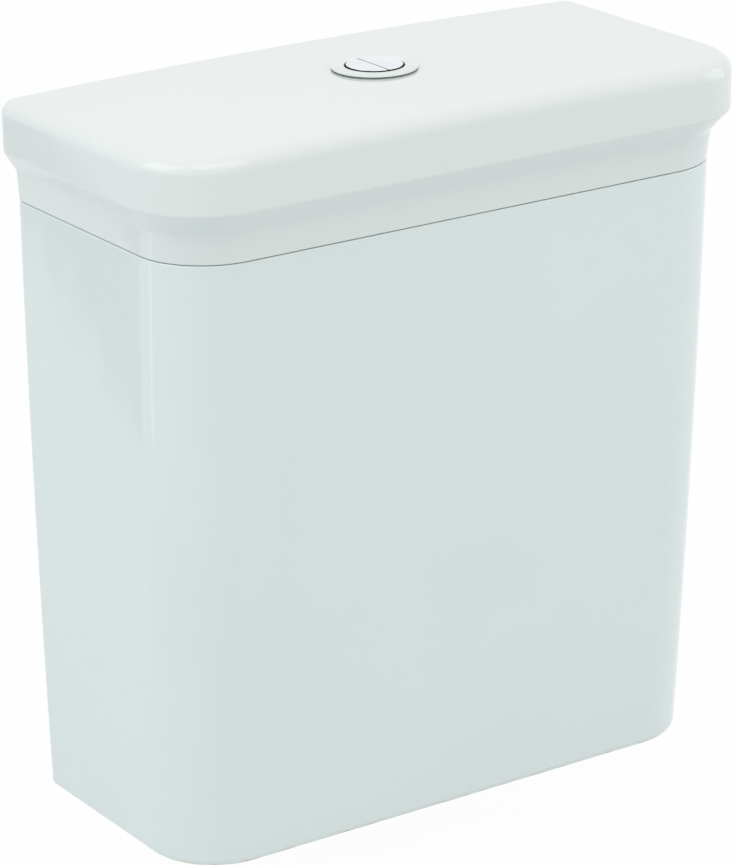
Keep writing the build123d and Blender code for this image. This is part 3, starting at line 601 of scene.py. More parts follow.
@dataclass(frozen=True)
class Surface:
    """A material's node tree at its start: the tree, its shader and the place in the piece."""

    material: Material
    tree: Tree
    shader: bpy.types.Node
    place: Socket

    @classmethod
    def start(cls, name: str, **constants: float) -> "Surface":
        """Start a material whose constants are set on the shader itself.

        Args:
            name: The material's name.
            constants: Shader inputs by name, with _ for a space.

        Returns:
            The surface to which the detail is added.
        """
        material = bpy.data.materials.new(name)
        tree = empty_tree(material)
        inputs = {key.replace("_", " "): value for key, value in constants.items()}
        shader = add_node(tree, "ShaderNodeBsdfPrincipled", inputs)
        add_node(tree, "ShaderNodeOutputMaterial", {"Surface": shader.outputs["BSDF"]})
        place = add_node(tree, "ShaderNodeTexCoord").outputs["Object"]
        return cls(material, tree, shader, place)

    def noise(self, grain: Grain) -> Socket:
        """Add a soft random pattern.

        Args:
            grain: Its size, detail and direction.

        Returns:
            Its value, about 0.5 on average.
        """
        place = self.place
        if grain.drawn:
            shrink = tuple(1 / size for size in grain.drawn)
            inputs = {"Vector": place, "Scale": shrink}
            place = add_node(self.tree, "ShaderNodeMapping", inputs).outputs["Vector"]
        inputs = {"Vector": place, "Scale": per_metre(grain.size), "Detail": grain.detail}
        return add_node(self.tree, "ShaderNodeTexNoise", inputs).outputs["Fac"]

    def spread(self, value: Socket, low: float | Socket, high: float, ends: Span = (0.3, 0.7)) -> Socket:
        """Map a pattern to a range.

        Args:
            value: The pattern.
            low: The outcome at its lower end and below.
            high: The outcome at its upper end and above.
            ends: Both ends, around the middle of a soft pattern if they aren't given.

        Returns:
            The mapped value.
        """
        inputs = {"Value": value, "From Min": ends[0], "From Max": ends[1], "To Min": low, "To Max": high}
        return add_node(self.tree, "ShaderNodeMapRange", inputs).outputs["Result"]

    def blend(self, share: Socket, first: str | Socket, second: str | Socket) -> Socket:
        """Mix two colours.

        Args:
            share: How much of the second one shows.
            first: A hex colour or another colour output.
            second: The same.

        Returns:
            The mixed colour.
        """
        first, second = (linear(colour) if isinstance(colour, str) else colour for colour in (first, second))
        inputs = {0: share, 6: first, 7: second}
        return add_node(self.tree, "ShaderNodeMix", inputs, data_type="RGBA").outputs[2]

    def link(self, **inputs: Socket) -> None:
        """Link outputs to the shader's inputs, named with _ for a space."""
        for name, output in inputs.items():
            self.tree.links.new(output, self.shader.inputs[name.replace("_", " ")])

    def relief(self, *layers: tuple[Socket, float]) -> None:
        """Give the surface its relief.

        Args:
            layers: Each pattern with the height in millimetres of its full swing.
        """
        normal = None
        for height, swing in layers:
            inputs = {"Height": height, "Distance": swing * MM, "Strength": 1.0}
            if normal:
                inputs["Normal"] = normal
            normal = add_node(self.tree, "ShaderNodeBump", inputs).outputs["Normal"]
        self.link(Normal=normal)


@dataclass(frozen=True)
class GlazedChina:
    """Vitreous china: slip cast, sprayed with an opaque white glaze and fired.

    The glaze melts into a hard clear gloss over a faint orange peel. The clay under it was sponged by hand,
    so a reflection wanders a little along a flat side. The glaze is wiped off where the ware stands in the
    kiln, and there the cream body shows, dull.
    """

    name: str = "glazed_vitreous_china"
    glaze: str = "E9ECEB"
    pooled: str = "E7EBEA"
    body: str = "D8D1C2"
    pools: Grain = Grain(90.0, 1.0)
    ior: float = 1.52
    gloss: Grain = Grain(14.0)
    roughness: Span = (0.075, 0.105)
    body_roughness: float = 0.8
    relief: Relief = ((Grain(26.0, 0.0), 0.12), (Grain(2.6, 1.0), 0.004))
    bare_below: float = 1.2
    wipe: Grain = Grain(7.0)
    wipe_wander: float = 0.8
    wipe_fade: float = 0.3

    def material(self) -> Material:
        """Build the material.

        Returns:
            The material.
        """
        surface = Surface.start(self.name, IOR=self.ior)
        clouds = surface.spread(surface.noise(self.pools), 0.0, 1.0)
        glazed = surface.blend(clouds, self.glaze, self.pooled)
        height = add_node(surface.tree, "ShaderNodeSeparateXYZ", {"Vector": surface.place}).outputs["Z"]
        wander = surface.spread(surface.noise(self.wipe), -self.wipe_wander * MM, self.wipe_wander * MM)
        edge = add_node(surface.tree, "ShaderNodeMath", {0: height, 1: wander}, operation="ADD").outputs[0]
        ends = (self.bare_below * MM, (self.bare_below + self.wipe_fade) * MM)
        bare = surface.spread(edge, 1.0, 0.0, ends)
        surface.link(Base_Color=surface.blend(bare, glazed, self.body))
        gloss = surface.spread(surface.noise(self.gloss), *self.roughness)
        surface.link(Roughness=surface.spread(bare, gloss, self.body_roughness, (0.0, 1.0)))
        surface.relief(*((surface.noise(grain), swing) for grain, swing in self.relief))
        return surface.material


@dataclass(frozen=True)
class Finish:
    """A finish of two close colours in clouds, with a roughness that wanders and a relief."""

    name: str
    colours: Colours
    clouds: Grain
    gloss: Grain
    roughness: Span
    relief: Relief
    constants: Constants
    most_second: float = 1.0

    def material(self) -> Material:
        """Build the material.

        Returns:
            The material.
        """
        surface = Surface.start(self.name, **dict(self.constants))
        share = surface.spread(surface.noise(self.clouds), 0.0, self.most_second)
        surface.link(Base_Color=surface.blend(share, *self.colours))
        surface.link(Roughness=surface.spread(surface.noise(self.gloss), *self.roughness))
        surface.relief(*((surface.noise(grain), swing) for grain, swing in self.relief))
        return surface.material


@dataclass(frozen=True)
class BiscuitChina(Finish):
    """The inside of the ware: fired clay under a thin wash of glaze.

    The plaster mould leaves it chalky and a little warm, with sponge marks and a dull sheen.
    """

    name: str = "washed_biscuit_china"
    colours: Colours = ("DDDAD2", "D2CDC2")
    clouds: Grain = Grain(35.0, 4.0)
    gloss: Grain = Grain(9.0)
    roughness: Span = (0.55, 0.75)
    relief: Relief = ((Grain(18.0), 0.3), (Grain(1.2, 3.0), 0.05))
    constants: Constants = (("IOR", 1.5),)


HAIRLINES = Grain(0.25, 1.0, (60.0, 3.0, 1.0))


@dataclass(frozen=True)
class ChromePlate(Finish):
    """Chrome plated on moulded ABS: a mirror with a cold, slightly blue tint.

    Wiping leaves hairline scratches, and the plate follows the moulding's faint waves.
    """

    name: str = "chrome_plated_abs"
    colours: Colours = ("EDEEF6", "E6E8EE")
    clouds: Grain = Grain(8.0, 3.0)
    gloss: Grain = HAIRLINES
    roughness: Span = (0.07, 0.12)
    relief: Relief = ((Grain(6.0, 0.0), 0.006), (HAIRLINES, 0.0006))
    constants: Constants = (("Metallic", 1.0),)


@dataclass(frozen=True)
class MouldedPlastic(Finish):
    """Injection-moulded polypropylene or ABS: an even colour with a fine spark-eroded grain.

    The melt leaves soft flow clouds, and the grain breaks highlights into a satin sheen.
    """

    clouds: Grain = Grain(16.0, 3.0, (1.0, 1.0, 2.5))
    gloss: Grain = Grain(3.0)
    roughness: Span = (0.33, 0.44)
    relief: Relief = ((Grain(12.0, 0.0), 0.03), (Grain(0.7), 0.008))
    constants: Constants = (("IOR", 1.49),)


@dataclass(frozen=True)
class MouldedRubber(Finish):
    """Vulcanised rubber from a press mould: dull, with bloom that greys it in patches."""

    clouds: Grain = Grain(5.0, 4.0)
    gloss: Grain = Grain(2.0)
    roughness: Span = (0.56, 0.72)
    relief: Relief = ((Grain(0.5), 0.02),)
    constants: Constants = (("IOR", 1.52),)


@dataclass(frozen=True)
class FoamRubber:
    """Closed-cell foam cut from sheet: a matt skin pitted by open cells about a millimetre wide."""

    name: str = "closed_cell_foam"
    colour: str = "2B2C2E"
    # The pit colour is painted shade: the open cells are darker where they sink in.
    pit: str = "17181A"
    cell: float = 1.3
    cell_depth: float = 0.35
    sag: Grain = Grain(9.0)
    sag_depth: float = 0.4
    roughness: float = 0.9
    ior: float = 1.5

    def material(self) -> Material:
        """Build the material.

        Returns:
            The material.
        """
        surface = Surface.start(self.name, IOR=self.ior, Roughness=self.roughness)
        inputs = {"Vector": surface.place, "Scale": per_metre(self.cell)}
        cells = add_node(surface.tree, "ShaderNodeTexVoronoi", inputs).outputs["Distance"]
        # The cell centres, which the relief sinks, are painted darker as shade.
        surface.link(Base_Color=surface.blend(surface.spread(cells, 0.0, 1.0), self.pit, self.colour))
        surface.relief((cells, self.cell_depth), (surface.noise(self.sag), self.sag_depth))
        return surface.material


@dataclass(frozen=True)
class ZincPlate(Finish):
    """Zinc-plated steel with a clear passivation: soft metal grey with a blue and straw cast.

    Barrel plating rubs the crests brighter and leaves the hollows dull.
    """

    name: str = "zinc_plated_steel"
    colours: Colours = ("C9CDD2", "C8C2AE")
    clouds: Grain = Grain(4.0, 3.0)
    gloss: Grain = Grain(1.2)
    roughness: Span = (0.25, 0.45)
    relief: Relief = ((Grain(0.6), 0.008),)
    constants: Constants = (("Metallic", 1.0),)
    most_second: float = 0.8


DIE_LINES = Grain(0.3, 2.0, (1.0, 1.0, 6.0))


@dataclass(frozen=True)
class DrawnSteel(Finish):
    """Hard-drawn stainless wire: bright, with fine lines from the drawing die."""

    name: str = "drawn_stainless_wire"
    colours: Colours = ("C4C6C9", "A9ACB0")
    clouds: Grain = DIE_LINES
    gloss: Grain = DIE_LINES
    roughness: Span = (0.19, 0.34)
    relief: Relief = ((DIE_LINES, 0.003),)
    constants: Constants = (("Metallic", 1.0),)


@dataclass(frozen=True)
class ClearSilicone(Finish):
    """Cast silicone: milky and see-through, with a soft sheen and a film of dust."""

    name: str = "clear_silicone"
    colours: Colours = ("C3CBCC", "B4BABA")
    clouds: Grain = Grain(2.5, 3.0)
    gloss: Grain = Grain(1.5)
    roughness: Span = (0.3, 0.5)
    relief: Relief = ((Grain(1.0), 0.01),)
    constants: Constants = (("IOR", 1.41), ("Transmission_Weight", 0.45))


class Finishes:
    """Every finish of the object, by the record's material slot."""

    def __init__(self) -> None:
        """Build the materials once."""
        self.tank_china = GlazedChina().material()
        # The lid's copy of the glaze is painted light. It is warmer and more neutral than the tank's to
        # stand in for the warmer light from above, and its bare foot is a light cool grey so that the shaded
        # seam reads lighter.
        self.lid_china_painted_light = GlazedChina(
            name="glazed_vitreous_china_lid_painted_light", glaze="EBEBE9", pooled="EAEAE8", body="DEE6E6",
            bare_below=355.7,
        ).material()
        self.biscuit = BiscuitChina().material()
        satin, waxy, soft, dull = (0.37, 0.48), (0.31, 0.42), (0.44, 0.6), (0.45, 0.56)
        white, grey = ("E2E3E0", "DADBD6"), ("9A9DA0", "8F9295")
        blue, red = ("2F6AA8", "285E98"), ("A63A2C", "97402F")
        self.by_slot = {
            "china": self.tank_china,
            "chrome_plate": ChromePlate().material(),
            "white_plastic": MouldedPlastic("white_polypropylene", white).material(),
            "grey_plastic": MouldedPlastic("grey_abs", grey, roughness=satin).material(),
            "blue_plastic": MouldedPlastic("blue_polypropylene", blue, roughness=waxy).material(),
            "black_rubber": MouldedRubber("black_nitrile_rubber", ("232426", "36383A")).material(),
            "red_rubber": MouldedRubber("red_silicone_rubber", red, roughness=soft).material(),
            "foam_rubber": FoamRubber().material(),
            "clear_rubber": ClearSilicone().material(),
            "zinc_steel": ZincPlate().material(),
            "spring_steel": DrawnSteel().material(),
        }
        self.ring_chrome = ChromePlate("chrome_plated_ring", ("E6ECEA", "DEE5E3")).material()
        # The gasket's grey-green is painted shade for the dark line under the ring's edge.
        # The near-black pair, bare, is painted shade for the gap round the half buttons and in the ring's
        # bore.
        gasket, bare = ("5F6A67", "707B77"), ("1E2022", "26282A")
        self.gasket = MouldedRubber("gasket_rubber_painted_shade", gasket, roughness=soft).material()
        self.gap_shade_plastic = MouldedPlastic("gap_shade_abs", bare, roughness=dull).material()

    def dress_solids(self) -> None:
        """Give every solid carried over from the frame the finish of its slot."""
        for part in frame["record"]["subparts"]:
            solid = frame["nodes"][part["node"]]
            coat = self.by_slot[part["material_slot"]]
            if not solid.material_slots:
                solid.data.materials.append(coat)
            for place in solid.material_slots:
                place.material = coat


# China


@dataclass
class Tank:
    """The hollow tank, drawn in a little towards its base, sizes in millimetres."""

    height: float = 355.0
    base_width: float = 358.0
    rim_width: float = 370.0
    base_depth: float = 157.5
    rim_depth: float = 173.2
    side_bulge: float = 1.4
    front_bulge: float = 0.6
    wall: float = 9.0
    floor: float = 12.0
    corner_radius: float = 42.0
    back_radius: float = 5.0
    bottom_round: float = 4.5
    rim_round: float = 0.9
    cavity_back_radius: float = 12.0
    cavity_bottom_round: float = 8.0
    wall_levels: int = 9
    outlet: Spot = OUTLET
    outlet_radius: float = 32.0
    inlet: Spot = INLET
    inlet_radius: float = 11.5
    bolt_reach: float = 75.0
    bolt_hole_radius: float = 5.5
    fixing_reach: float = 115.0
    fixing_level: float = 305.0
    fixing_radius: float = 4.0

    def outside(self, level: float) -> Plan:
        """Return the outer plan at a level.

        Args:
            level: The height above the underside.

        Returns:
            The plan, wider and deeper towards the rim and a little bulged between.
        """
        share = level / self.height
        swell = 4 * share * (1 - share)
        width = self.base_width + (self.rim_width - self.base_width) * share + 2 * self.side_bulge * swell
        depth = self.base_depth + (self.rim_depth - self.base_depth) * share + self.front_bulge * swell
        return Plan(width / 2, -depth, self.corner_radius, 0.0, self.back_radius)

    def inside(self, level: float) -> Plan:
        """Return the plan of the hollow at a level.

        Args:
            level: The height above the underside.

        Returns:
            The plan, one wall inside the outer one.
        """
        outer = self.outside(level)
        return Plan(
            outer.half_width - self.wall, outer.front + self.wall, self.corner_radius - self.wall,
            -self.wall, self.cavity_back_radius,
        )

    def skin(self) -> Shape:
        """Loft the skin from the hollow's floor, over the rim and down to the underside.

        Returns:
            The closed skin, without holes.
        """
        sections = []
        for drawn, risen in reversed(quarter_round(self.cavity_bottom_round)):
            level = self.floor + self.cavity_bottom_round - risen
            sections.append((self.inside(level).inset(drawn), level))
        top = self.height - self.rim_round
        inner_foot = self.floor + self.cavity_bottom_round
        for step in range(1, self.wall_levels):
            level = inner_foot + (top - inner_foot) * step / self.wall_levels
            sections.append((self.inside(level), level))
        for drawn, risen in quarter_round(self.rim_round):
            sections.append((self.inside(top).inset(-drawn), top + risen))
        for drawn, risen in reversed(quarter_round(self.rim_round)):
            sections.append((self.outside(top).inset(drawn), top + risen))
        for step in range(1, self.wall_levels):
            level = top - (top - self.bottom_round) * step / self.wall_levels
            sections.append((self.outside(level), level))
        for drawn, risen in quarter_round(self.bottom_round):
            level = self.bottom_round - risen
            sections.append((self.outside(level).inset(drawn, with_back=False), level))
        shape = bmesh.new()
        loft(shape, sections)
        return shape

    def drills(self) -> Shape:
        """Shape the tools that cut the holes: outlet, inlet, bolts and wall fixings.

        Returns:
            All the tools.
        """
        tool = bmesh.new()
        low, high = -OVERSHOOT, self.floor + OVERSHOOT
        rod(tool, self.outlet_radius, low, high, self.outlet, FINE)
        rod(tool, self.inlet_radius, low, high, self.inlet, WIDE)
        for side in (-1, 1):
            rod(tool, self.bolt_hole_radius, low, high, (side * self.bolt_reach, self.outlet[1]))
            place = Matrix.Translation((side * self.fixing_reach, -self.wall / 2, self.fixing_level))
            bmesh.ops.create_cone(
                tool, cap_ends=True, segments=PLAIN, radius1=self.fixing_radius, radius2=self.fixing_radius,
                depth=self.wall + 2 * OVERSHOOT, matrix=place @ Matrix.Rotation(radians(90), 4, "X"),
            )
        return tool

    def build(self, finishes: Finishes) -> None:
        """Model the tank and dress it.

        Args:
            finishes: The finishes to dress it in.
        """
        shape = combine(self.skin(), self.drills(), Joining.CUT)
        for face in shape.faces:
            middle = face.calc_center_median()
            mid_wall = self.outside(middle.z).inset(self.wall / 2)
            if middle.z > self.floor / 2 and mid_wall.holds(middle):
                face.material_index = 1
        coats = [finishes.tank_china, finishes.biscuit]
        finish_piece("china_tank", shape, "cistern", coats, ("tank",))


@dataclass
class Lid:
    """The lid: a collar, a cove that runs out to the slab, and a crowned top, sizes in millimetres."""

    bottom: float = 355.4
    rim_half_width: float = 185.0
    rim_depth: float = 173.2
    collar_top: float = 373.2
    side_flare: float = 1.1
    front_flare: float = 1.9
    slab_bottom: float = 385.6
    side_overhang: float = 9.4
    front_overhang: float = 9.8
    slab_edge_top: float = 415.0
    crown: float = 3.1
    ceiling: float = 404.0
    wall: float = 9.0
    collar_radius: float = 42.0
    slab_radius: float = 48.0
    collar_back_radius: float = 5.0
    slab_back_radius: float = 9.0
    collar_bottom_round: float = 0.9
    cove_round: float = 5.0
    slab_lower_round: float = 3.2
    slab_top_round: float = 8.5
    cavity_back_radius: float = 12.0
    ceiling_round: float = 4.0
    collar_shares: Spot = (0.35, 0.7)
    hole: Spot = OUTLET
    hole_radius: float = 20.0
    hole_overshoot: float = 5.0
    strip: float = 15.0
    lug_outer: float = 174.0
    lug_thickness: float = 6.0
    lug_length: float = 30.0
    lug_bottom: float = 348.8
    lug_top: float = 367.8
    lug_shares: Spot = (0.25, 0.7)
    lug_edge: float = 1.5
    lug_root: float = 4.0
    lug_root_edge: float = 1.0
    lug_root_rise: float = 0.8

    def rim(self) -> Plan:
        """Return the collar's plan at its foot, as wide as the tank's rim."""
        return Plan(self.rim_half_width, -self.rim_depth, self.collar_radius, 0.0, self.collar_back_radius)

    def collar(self) -> Plan:
        """Return the collar's plan at its top.

        Returns:
            The plan, flared a little from the rim's.
        """
        rim = self.rim()
        return Plan(
            rim.half_width + self.side_flare, rim.front - self.front_flare, self.collar_radius,
            0.0, self.collar_back_radius,
        )

    def slab(self) -> Plan:
        """Return the slab's plan.

        Returns:
            The plan, which overhangs the collar at the sides and the front.
        """
        collar = self.collar()
        return Plan(
            collar.half_width + self.side_overhang, collar.front - self.front_overhang, self.slab_radius,
            0.0, self.slab_back_radius,
        )

    def hollow(self) -> Plan:
        """Return the plan of the lid's hollow.

        Returns:
            The plan, one wall inside the rim's.
        """
        rim = self.rim()
        return Plan(
            rim.half_width - self.wall, rim.front + self.wall, self.collar_radius - self.wall,
            -self.wall, self.cavity_back_radius,
        )

    def cove(self) -> list[tuple[float, float]]:
        """Follow the cove from the collar's top to the slab, its two corners softened.

        Returns:
            How far out towards the slab's plan, as a share, and the level, step by step.
        """
        low = Vector((0.0, self.collar_top, 0.0))
        high = Vector((self.front_overhang, self.slab_bottom, 0.0))
        slope = (high - low).normalized()
        up = Vector((0.0, 1.0, 0.0))
        path = []
        for corner, before, after, start in (
            (low, up, slope, self.cove_round / 3),
            (high, slope, up, self.slab_lower_round / 3),
        ):
            first, last = corner - before * start, corner + after * start
            path.extend(interpolate_bezier(
                first, corner - before * start / 3, corner + after * start / 3, last, 6,
            ))
        return [(point.x / self.front_overhang, point.y) for point in path]

    def skin(self) -> Shape:
        """Loft the skin from the ceiling, round the collar's foot and up to the top.

        Returns:
            The closed skin, its top still flat.
        """
        sections = []
        inner = self.hollow()
        for drawn, risen in reversed(quarter_round(self.ceiling_round)):
            sections.append((inner.inset(drawn), self.ceiling - self.ceiling_round + risen))
        edge = self.collar_bottom_round
        for drawn, risen in quarter_round(edge / 2, 3):
            sections.append((inner.inset(-drawn), self.bottom + edge / 2 - risen))
        rim = self.rim()
        collar = self.collar()
        slab = self.slab()
        for drawn, risen in reversed(quarter_round(edge)):
            sections.append((rim.inset(drawn), self.bottom + edge - risen))
        straight = self.collar_top - self.bottom - 2 * edge
        for share in self.collar_shares:
            sections.append((rim.towards(collar, share), self.bottom + edge + straight * share))
        for share, level in self.cove():
            sections.append((collar.towards(slab, share), level))
        side_top = self.slab_edge_top - self.slab_top_round
        sections.append((slab, (self.slab_bottom + side_top) / 2))
        for drawn, risen in quarter_round(self.slab_top_round, 10):
            sections.append((slab.inset(drawn), side_top + risen))
        shape = bmesh.new()
        loft(shape, sections)
        return shape

    def raise_crown(self, shape: Shape) -> None:
        """Cut the top into strips across the lid and raise them to the crown.

        Args:
            shape: The lid's skin, its top still flat.
        """
        base = self.ceiling + 1
        half_width = self.slab().half_width
        count = int(2 * half_width / self.strip)
        for number in range(1, count):
            x = half_width * (2 * number / count - 1)
            top = [v for v in shape.verts if v.co.z > base]
            edges = [e for e in shape.edges if min(v.co.z for v in e.verts) > base]
            faces = [f for f in shape.faces if min(v.co.z for v in f.verts) > base]
            bmesh.ops.bisect_plane(shape, geom=top + edges + faces, plane_co=(x, 0, 0), plane_no=(1, 0, 0))
        for vert in shape.verts:
            if vert.co.z > base:
                vert.co.z += self.crown * (1 - (vert.co.x / half_width) ** 2)

    def lugs(self) -> Shape:
        """Shape the four lugs that keep the lid in place on the rim.

        Returns:
            The lugs with their roots in the wall.
        """
        lugs = bmesh.new()
        for side in (-1, 1):
            for share in self.lug_shares:
                middle = -share * self.rim_depth
                near, far = middle - self.lug_length / 2, middle + self.lug_length / 2
                inner = side * (self.lug_outer - self.lug_thickness)
                parts = []
                for outer, low, edge in (
                    (self.lug_outer, self.lug_bottom, self.lug_edge),
                    (self.lug_outer + self.lug_root, self.bottom + self.lug_root_rise, self.lug_root_edge),
                ):
                    left, right = sorted((inner, side * outer))
                    parts.append(block((left, near, low), (right, far, self.lug_top), edge))
                join(lugs, combine(*parts, Joining.UNITE))
        return lugs

    def build(self, finishes: Finishes) -> None:
        """Model the lid and dress it.

        Args:
            finishes: The finishes to dress it in.
        """
        shape = self.skin()
        self.raise_crown(shape)
        shape = combine(shape, self.lugs(), Joining.UNITE)
        low = self.ceiling - self.hole_overshoot
        high = self.slab_edge_top + self.crown + self.hole_overshoot
        shape = drill(shape, self.hole_radius, low, high, (self.hole,), FINE)
        mid_wall = self.rim().inset(self.wall / 2)
        for face in shape.faces:
            middle = face.calc_center_median()
            if middle.z < self.ceiling + 1 and mid_wall.holds(middle):
                face.material_index = 1
        coats = [finishes.lid_china_painted_light, finishes.biscuit]
        finish_piece("china_lid", shape, "lid", coats, ("lid",))


# Push button


@dataclass
class PushButton:
    """The twin push button with its surround, housing and springs, sizes in millimetres."""

    centre: Spot = OUTLET
    seat: float = 418.1
    ring_bore: float = 17.1
    ring_reach: float = 24.3
    ring_top: float = 420.35
    ring_shoulder: float = 419.9
    ring_lip: float = 0.2
    ring_brow: float = 0.7
    ring_brow_round: float = 0.5
    gasket_height: float = 1.1
    gasket_inset: float = 0.25
    gasket_foot_inset: float = 0.15
    gasket_round: float = 0.15
    sleeve_wall: float = 0.6
    sleeve_depth: float = 9.0
    sleeve_drop: float = 0.5
    sleeve_lip: float = 0.15
    disc_radius: float = 16.0
    disc_top: float = 420.95
    dome: float = 0.15
    dome_cell: float = 2.1
    disc_edge: float = 0.15
    cap_thickness: float = 2.5
    cap_sides: int = 112
    split: float = -1.2
    split_gap: float = 0.9
    skirt: float = 12.0
    skirt_wall: float = 1.2
    socket_reach: float = 8.5
    socket_radius: float = 4.0
    socket_end: float = 2.0
    rod_radius: float = 2.55
    rod_gap: float = 0.25
    housing_radius: float = 18.7
    housing_bottom: float = 376.1
    housing_floor: float = 378.6
    flange_radius: float = 21.7
    flange_edge: float = 0.3
    plate_lap: float = 0.2
    thread_depth: float = 0.6
    thread_pitch: float = 3.0
    spring_radius: float = 5.0
    wire: float = 0.8
    wire_sides: int = 14
    coil_steps: int = 36
    spring_turns: float = 6.0
    end_coil_rise: float = 1.05
    travel: float = 6.0

    def socket_spot(self, side: int) -> Spot:
        """Return the axis of a half button's socket: side 1 for the right, -1 for the left."""
        return self.centre[0] + side * self.socket_reach, self.centre[1]

    def ring(self) -> Shape:
        """Turn the plated ring, its top falling outwards, and a sleeve in its bore whose near-black colour
        is painted shade for the gap round the buttons.

        Returns:
            The ring, its sleeve's faces marked 1 for the painted shade.
        """
        shape = bmesh.new()
        foot = self.seat + self.gasket_height + LAP
        turn(shape, [
            (self.ring_bore, foot, 0.0), (self.ring_bore, self.ring_top, self.ring_lip),
            (self.ring_reach - self.ring_brow, self.ring_shoulder, self.ring_brow_round),
            (self.ring_reach, foot, 0.0),
        ], self.centre, FINEST)
        plated = set(shape.faces)
        inner, near, far = self.ring_bore - self.sleeve_wall, self.ring_bore - LAP, self.ring_bore + LAP
        end, drop = self.seat - self.sleeve_depth, self.sleeve_drop
        turn(shape, [
            (inner, end, 0.0), (inner, self.ring_top - drop, self.sleeve_lip),
            (far, self.ring_top - drop / 2, 0.0), (far, foot, 0.0), (near, foot, 0.0), (near, end, 0.0),
        ], self.centre, FINEST)
        for face in shape.faces:
            face.material_index = 0 if face in plated else 1
        return shape

    def gasket(self) -> Shape:
        """Turn the grey gasket under the ring, a part whose dark grey-green is painted shade for the shaded
        line under the ring's edge.

        Returns:
            The gasket.
        """
        inner = self.flange_radius + 2 * LAP
        low, high = self.seat - 2 * LAP, self.seat + self.gasket_height
        return turn(bmesh.new(), [
            (inner, low, 0.0), (inner, high, 0.0),
            (self.ring_reach - self.gasket_inset, high, self.gasket_round),
            (self.ring_reach - self.gasket_foot_inset, low, 0.0),
        ], self.centre, FINEST)

    def housing(self) -> Shape:
        """Model the threaded housing with its flange and the two holes for the rods.

        Returns:
            The housing.
        """
        reach = self.ring_bore + self.plate_lap
        plate = rod(bmesh.new(), reach, self.housing_bottom, self.housing_floor, self.centre, SMOOTH)
        shape = drill(
            plate, self.rod_radius + self.rod_gap, self.housing_bottom - OVERSHOOT,
            self.housing_floor + OVERSHOOT, (self.socket_spot(-1), self.socket_spot(1)), LEAST,
        )
        join(shape, thread(
            self.housing_radius, self.housing_radius - self.thread_depth, self.thread_pitch,
            (self.housing_bottom, self.seat), self.centre, self.ring_bore, SMOOTH,
        ))
        low, high = self.seat - self.plate_lap, self.seat + self.gasket_height
        return turn(shape, [
            (self.ring_bore, low, 0.0), (self.ring_bore, high, self.flange_edge),
            (self.flange_radius, high, self.flange_edge), (self.flange_radius, low, 0.0),
        ], self.centre, FINE)

    def half(self, side: int) -> Shape:
        """Model one half button: a domed cap, a skirt inside it and a socket for the rod.

        Args:
            side: 1 for the half on the right, -1 for the one on the left.

        Returns:
            The half button.
        """
        edge = self.split + side * self.split_gap / 2
        under = self.disc_top - self.cap_thickness
        shape = self.half_rod(side, self.disc_radius, edge, under, self.disc_top)
        rim = [e for e in shape.edges if min(v.co.z for v in e.verts) > self.disc_top - MERGE]
        soften(shape, rim, self.disc_edge, 4, "EDGES")
        cells = int(self.disc_radius / self.dome_cell)
        for axis in (0, 1):
            for step in range(-cells, cells + 1):
                spot = Vector((*self.centre, 0.0))
                spot[axis] += step * self.dome_cell
                way = Vector((axis == 0, axis == 1, 0))
                faces = [f for f in shape.faces if min(v.co.z for v in f.verts) > self.disc_top - MERGE]
                around = list({e for f in faces for e in f.edges} | {v for f in faces for v in f.verts})
                bmesh.ops.bisect_plane(shape, geom=faces + around, plane_co=spot, plane_no=way)
        for vert in shape.verts:
            reach = (vert.co.xy - Vector(self.centre)).length / self.disc_radius
            if vert.co.z > self.disc_top - self.disc_edge - MERGE:
                vert.co.z += self.dome * (1 - reach ** 2)
        foot = under - self.skirt
        skirt = self.half_rod(side, self.disc_radius, edge, foot, under + 2 * self.plate_lap)
        inner_edge = edge + side * self.skirt_wall
        inner = self.half_rod(side, self.disc_radius - self.skirt_wall, inner_edge, foot - OVERSHOOT, under)
        skirt = combine(skirt, inner, Joining.CUT)
        spot = self.socket_spot(side)
        socket = rod(bmesh.new(), self.socket_radius, foot, under + self.plate_lap, spot, SMALL)
        low, high = foot - OVERSHOOT, under - self.socket_end
        socket = drill(socket, self.rod_radius, low, high, (spot,), LEAST)
        shape = combine(shape, skirt, Joining.UNITE)
        shape = combine(shape, socket, Joining.UNITE)
        # Below the cap's top edge the half button takes the second coat, near-black painted shade for the
        # gap round it.
        for face in shape.faces:
            middle = face.calc_center_median()
            face.material_index = 1 if middle.z < self.disc_top - self.disc_edge - MERGE else 0
        return shape

    def half_rod(self, side: int, radius: float, edge: float, low: float, high: float) -> Shape:
        """Cut a round bar along one side.

        Args:
            side: Which side of the cut stays: 1 for the right.
            radius: The bar's radius.
            edge: Where it is cut, across.
            low: The level of its foot.
            high: The level of its top.

        Returns:
            The bar.
        """
        shape = rod(bmesh.new(), radius, low, high, self.centre, self.cap_sides)
        slice_off(shape, (edge, 0, 0), (-side, 0, 0))
        fill_holes(shape)
        return shape

    def spring(self, side: int) -> Shape:
        """Wind one return spring, its end coils lying flat.

        Args:
            side: 1 for the spring on the right, -1 for the one on the left.

        Returns:
            The spring.
        """
        low = self.housing_floor + self.wire / 2
        high = self.disc_top - self.cap_thickness - self.wire / 2
        centre = self.socket_spot(side)
        shape = bmesh.new()
        place = Matrix.Translation((centre[0] + self.spring_radius, centre[1], low))
        made = bmesh.ops.create_circle(
            shape, segments=self.wire_sides, radius=self.wire / 2,
            matrix=place @ Matrix.Rotation(radians(90), 4, "X"),
        )["verts"]
        geom = made + edges_of(made)
        closed = self.wire * self.end_coil_rise
        rise = high - low - 2 * closed
        for turns, climb in ((1.0, closed), (self.spring_turns, rise), (1.0, closed)):
            count = int(turns * self.coil_steps)
            spun = bmesh.ops.spin(
                shape, geom=geom, cent=(*centre, 0), axis=(0, 0, 1), dvec=(0, 0, climb / count),
                angle=2 * pi * turns, steps=count,
            )
            geom = spun["geom_last"]
        fill_holes(shape)
        return shape

